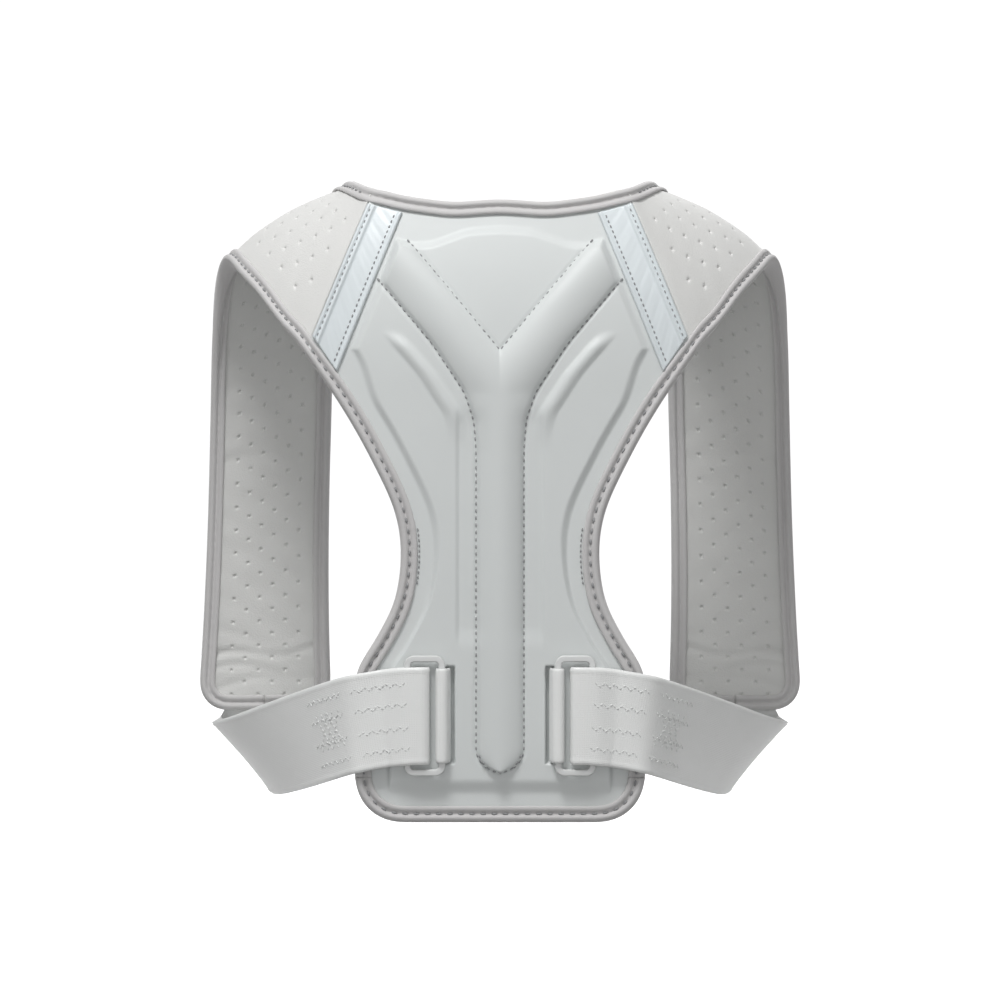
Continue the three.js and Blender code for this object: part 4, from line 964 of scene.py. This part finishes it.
def zigzag(start, end, middle, swing, pitch):
    count = int((end - start) / pitch)
    at = np.linspace(start, end, count + 1)
    return at, middle + swing * np.where(np.arange(count + 1) % 2, 1, -1)


# Distances along the webbing are from its tail. Shares across it run from -0.5 to 0.5.
RING_FOLD_AT = 32.0
ZIGZAG_ROWS, ZIGZAG_SWING, ZIGZAG_PITCH = (-0.33, -0.12, 0.12, 0.33), 0.028, 2.4
ZIGZAG_SPANS = ((6, 34), (41, 74))
CROSSED_SPAN, CROSSED_STEP, CROSSED_LENGTH, CROSSED_HALF = (44, 62), 6.0, 12, 0.2
BOX_LENGTH, BOX_END_IN, BOX_HALF = 20, 4, 0.42
PALE_STITCH, BOX_STITCH = (2.6, 1.9, 0.26), (3.2, 2.3, 0.4)
pale_thread = fabric("pale_thread", (0.72, 0.73, 0.72), 0.6, 0.0004, 0.0001, 0.1)
webbing_weave = woven("webbing_weave", (0.84, 0.85, 0.84), 0.42, 0.0009, 0.0001)
web_centre, web_lean = web_stations()
for side, name in ((-1, "left"), (1, "right")):
    strap, web_length = make_band(f"web_strap_{name}", web_centre, web_lean, WEB_WIDTH, WEB_THICK, side,
                                  webbing_weave, f"webbing_{name}", WEB_STEP, web_lift)
    patch = [zigzag(RING_FOLD_AT + start, RING_FOLD_AT + end, row, ZIGZAG_SWING, ZIGZAG_PITCH)
             for row in ZIGZAG_ROWS for start, end in ZIGZAG_SPANS]
    for low in (-CROSSED_HALF, CROSSED_HALF):
        for start in RING_FOLD_AT + np.arange(*CROSSED_SPAN, CROSSED_STEP):
            patch.append((np.linspace(start, start + CROSSED_LENGTH, 9), np.linspace(low, -low, 9)))
    rows = [stitch_row(*web_line(side, at, share, 1), *PALE_STITCH) for at, share in patch]
    box_start, box_end = web_length - BOX_END_IN - BOX_LENGTH, web_length - BOX_END_IN
    corners = ((box_start, -BOX_HALF), (box_end, -BOX_HALF), (box_end, BOX_HALF), (box_start, BOX_HALF),
               (box_start, -BOX_HALF), (box_end, BOX_HALF), (box_end, -BOX_HALF), (box_start, BOX_HALF))
    for (from_at, from_share), (to_at, to_share) in zip(corners, corners[1:]):
        line = web_line(side, np.linspace(from_at, to_at, 20), np.linspace(from_share, to_share, 20), 1)
        rows.append(stitch_row(*line, *BOX_STITCH))
    make_stitches(f"web_stitches_{name}", rows, pale_thread, "webbing")


# Ring loops: short doubled webbing that comes out of a slit in the panel and goes round
# the ring's inner bar.
LOOP_THICK, LOOP_WIDTH = 1.2, 48.5
SLIT_REACH, SLIT_DEPTH = 4.8, 4.0
loop_half = LOOP_THICK / 2
bar_front = RING_BACK_Y - RING_THICK
clear = loop_half + GAP
near_x, far_x = RING_INNER_X - clear, RING_INNER_X + RING_BAR + clear
root_y = SLIT_DEPTH - 2.2 - GAP
near_leg = RING_INNER_X - SLIT_REACH / 2 + 0.2
far_leg = near_leg + LOOP_THICK + GAP
loop_path = (
    (near_leg, root_y), (near_leg, -2.2), (near_x - 0.3, RING_BACK_Y - 0.5), (near_x, bar_front - 0.1),
    (lerp(near_x, far_x, 0.25), bar_front - clear - 0.4),
    (lerp(near_x, far_x, 0.75), bar_front - clear - 0.4),
    (far_x, bar_front), (far_x + 0.1, RING_BACK_Y - 0.6),
    (lerp(near_x, far_x, 0.8), RING_BACK_Y + clear + 0.1),
    (far_leg + 0.4, -2.8), (far_leg, root_y),
)
loop_centre = np.array([(-x, y, WEB_Z) for x, y in loop_path])
for side, name in ((-1, "left"), (1, "right")):
    loop, loop_length = make_band(f"loop_tape_{name}", loop_centre, np.zeros(len(loop_centre)), LOOP_WIDTH,
                                  LOOP_THICK, side, webbing_weave, f"ring_loop_{name}", 0.5)


# Rings: moulded plastic rectangles with softened edges, one at each side of the ridge.
RING_CORNER_R, RING_SOFT = 5.0, 0.75
plastic = fabric("moulded_plastic", (0.68, 0.69, 0.685), 0.36, 0.0016, 0.00002, 0.015)
for side, name in ((-1, "left"), (1, "right")):
    bpy.ops.object.select_all(action="DESELECT")
    middle = to_frame((side * (RING_INNER_X + RING_WIDTH / 2), RING_BACK_Y - RING_THICK / 2, WEB_Z))
    bpy.ops.mesh.primitive_cube_add(size=1, location=middle.tolist(),
                                    scale=(RING_WIDTH * MM, RING_THICK * MM, RING_HEIGHT * MM))
    ring = bpy.context.object
    ring.name = f"ring_frame_{name}"
    bpy.ops.object.transform_apply(location=True, rotation=True, scale=True)
    bpy.ops.object.mode_set(mode="EDIT")
    bpy.ops.mesh.select_mode(type="EDGE")
    bpy.ops.mesh.select_all(action="DESELECT")
    bpy.ops.object.mode_set(mode="OBJECT")
    for edge in ring.data.edges:
        a, b = (ring.data.vertices[v].co for v in edge.vertices)
        edge.select = abs(a.y - b.y) > RING_THICK * MM * 0.9
    bpy.ops.object.mode_set(mode="EDIT")
    bpy.ops.mesh.bevel(offset=RING_CORNER_R * MM, segments=8)
    bpy.ops.mesh.select_mode(type="FACE")
    bpy.ops.mesh.select_all(action="DESELECT")
    bpy.ops.object.mode_set(mode="OBJECT")
    for face in ring.data.polygons:
        face.select = abs(face.normal.y) > 0.9
    bpy.ops.object.mode_set(mode="EDIT")
    bpy.ops.mesh.inset(thickness=RING_BAR * MM, depth=0)
    bpy.ops.mesh.bridge_edge_loops()
    bpy.ops.object.mode_set(mode="OBJECT")
    soft = ring.modifiers.new("soft_edges", "BEVEL")
    soft.width = RING_SOFT * MM
    soft.segments = 4
    soft.limit_method = "ANGLE"
    soft.angle_limit = math.radians(50)
    bpy.ops.object.modifier_apply(modifier=soft.name)
    bpy.ops.object.shade_smooth_by_angle(angle=math.radians(40))
    ring.data.materials.append(plastic)
    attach(ring, "root")
    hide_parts(f"strap_ring_{name}")

low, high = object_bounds()
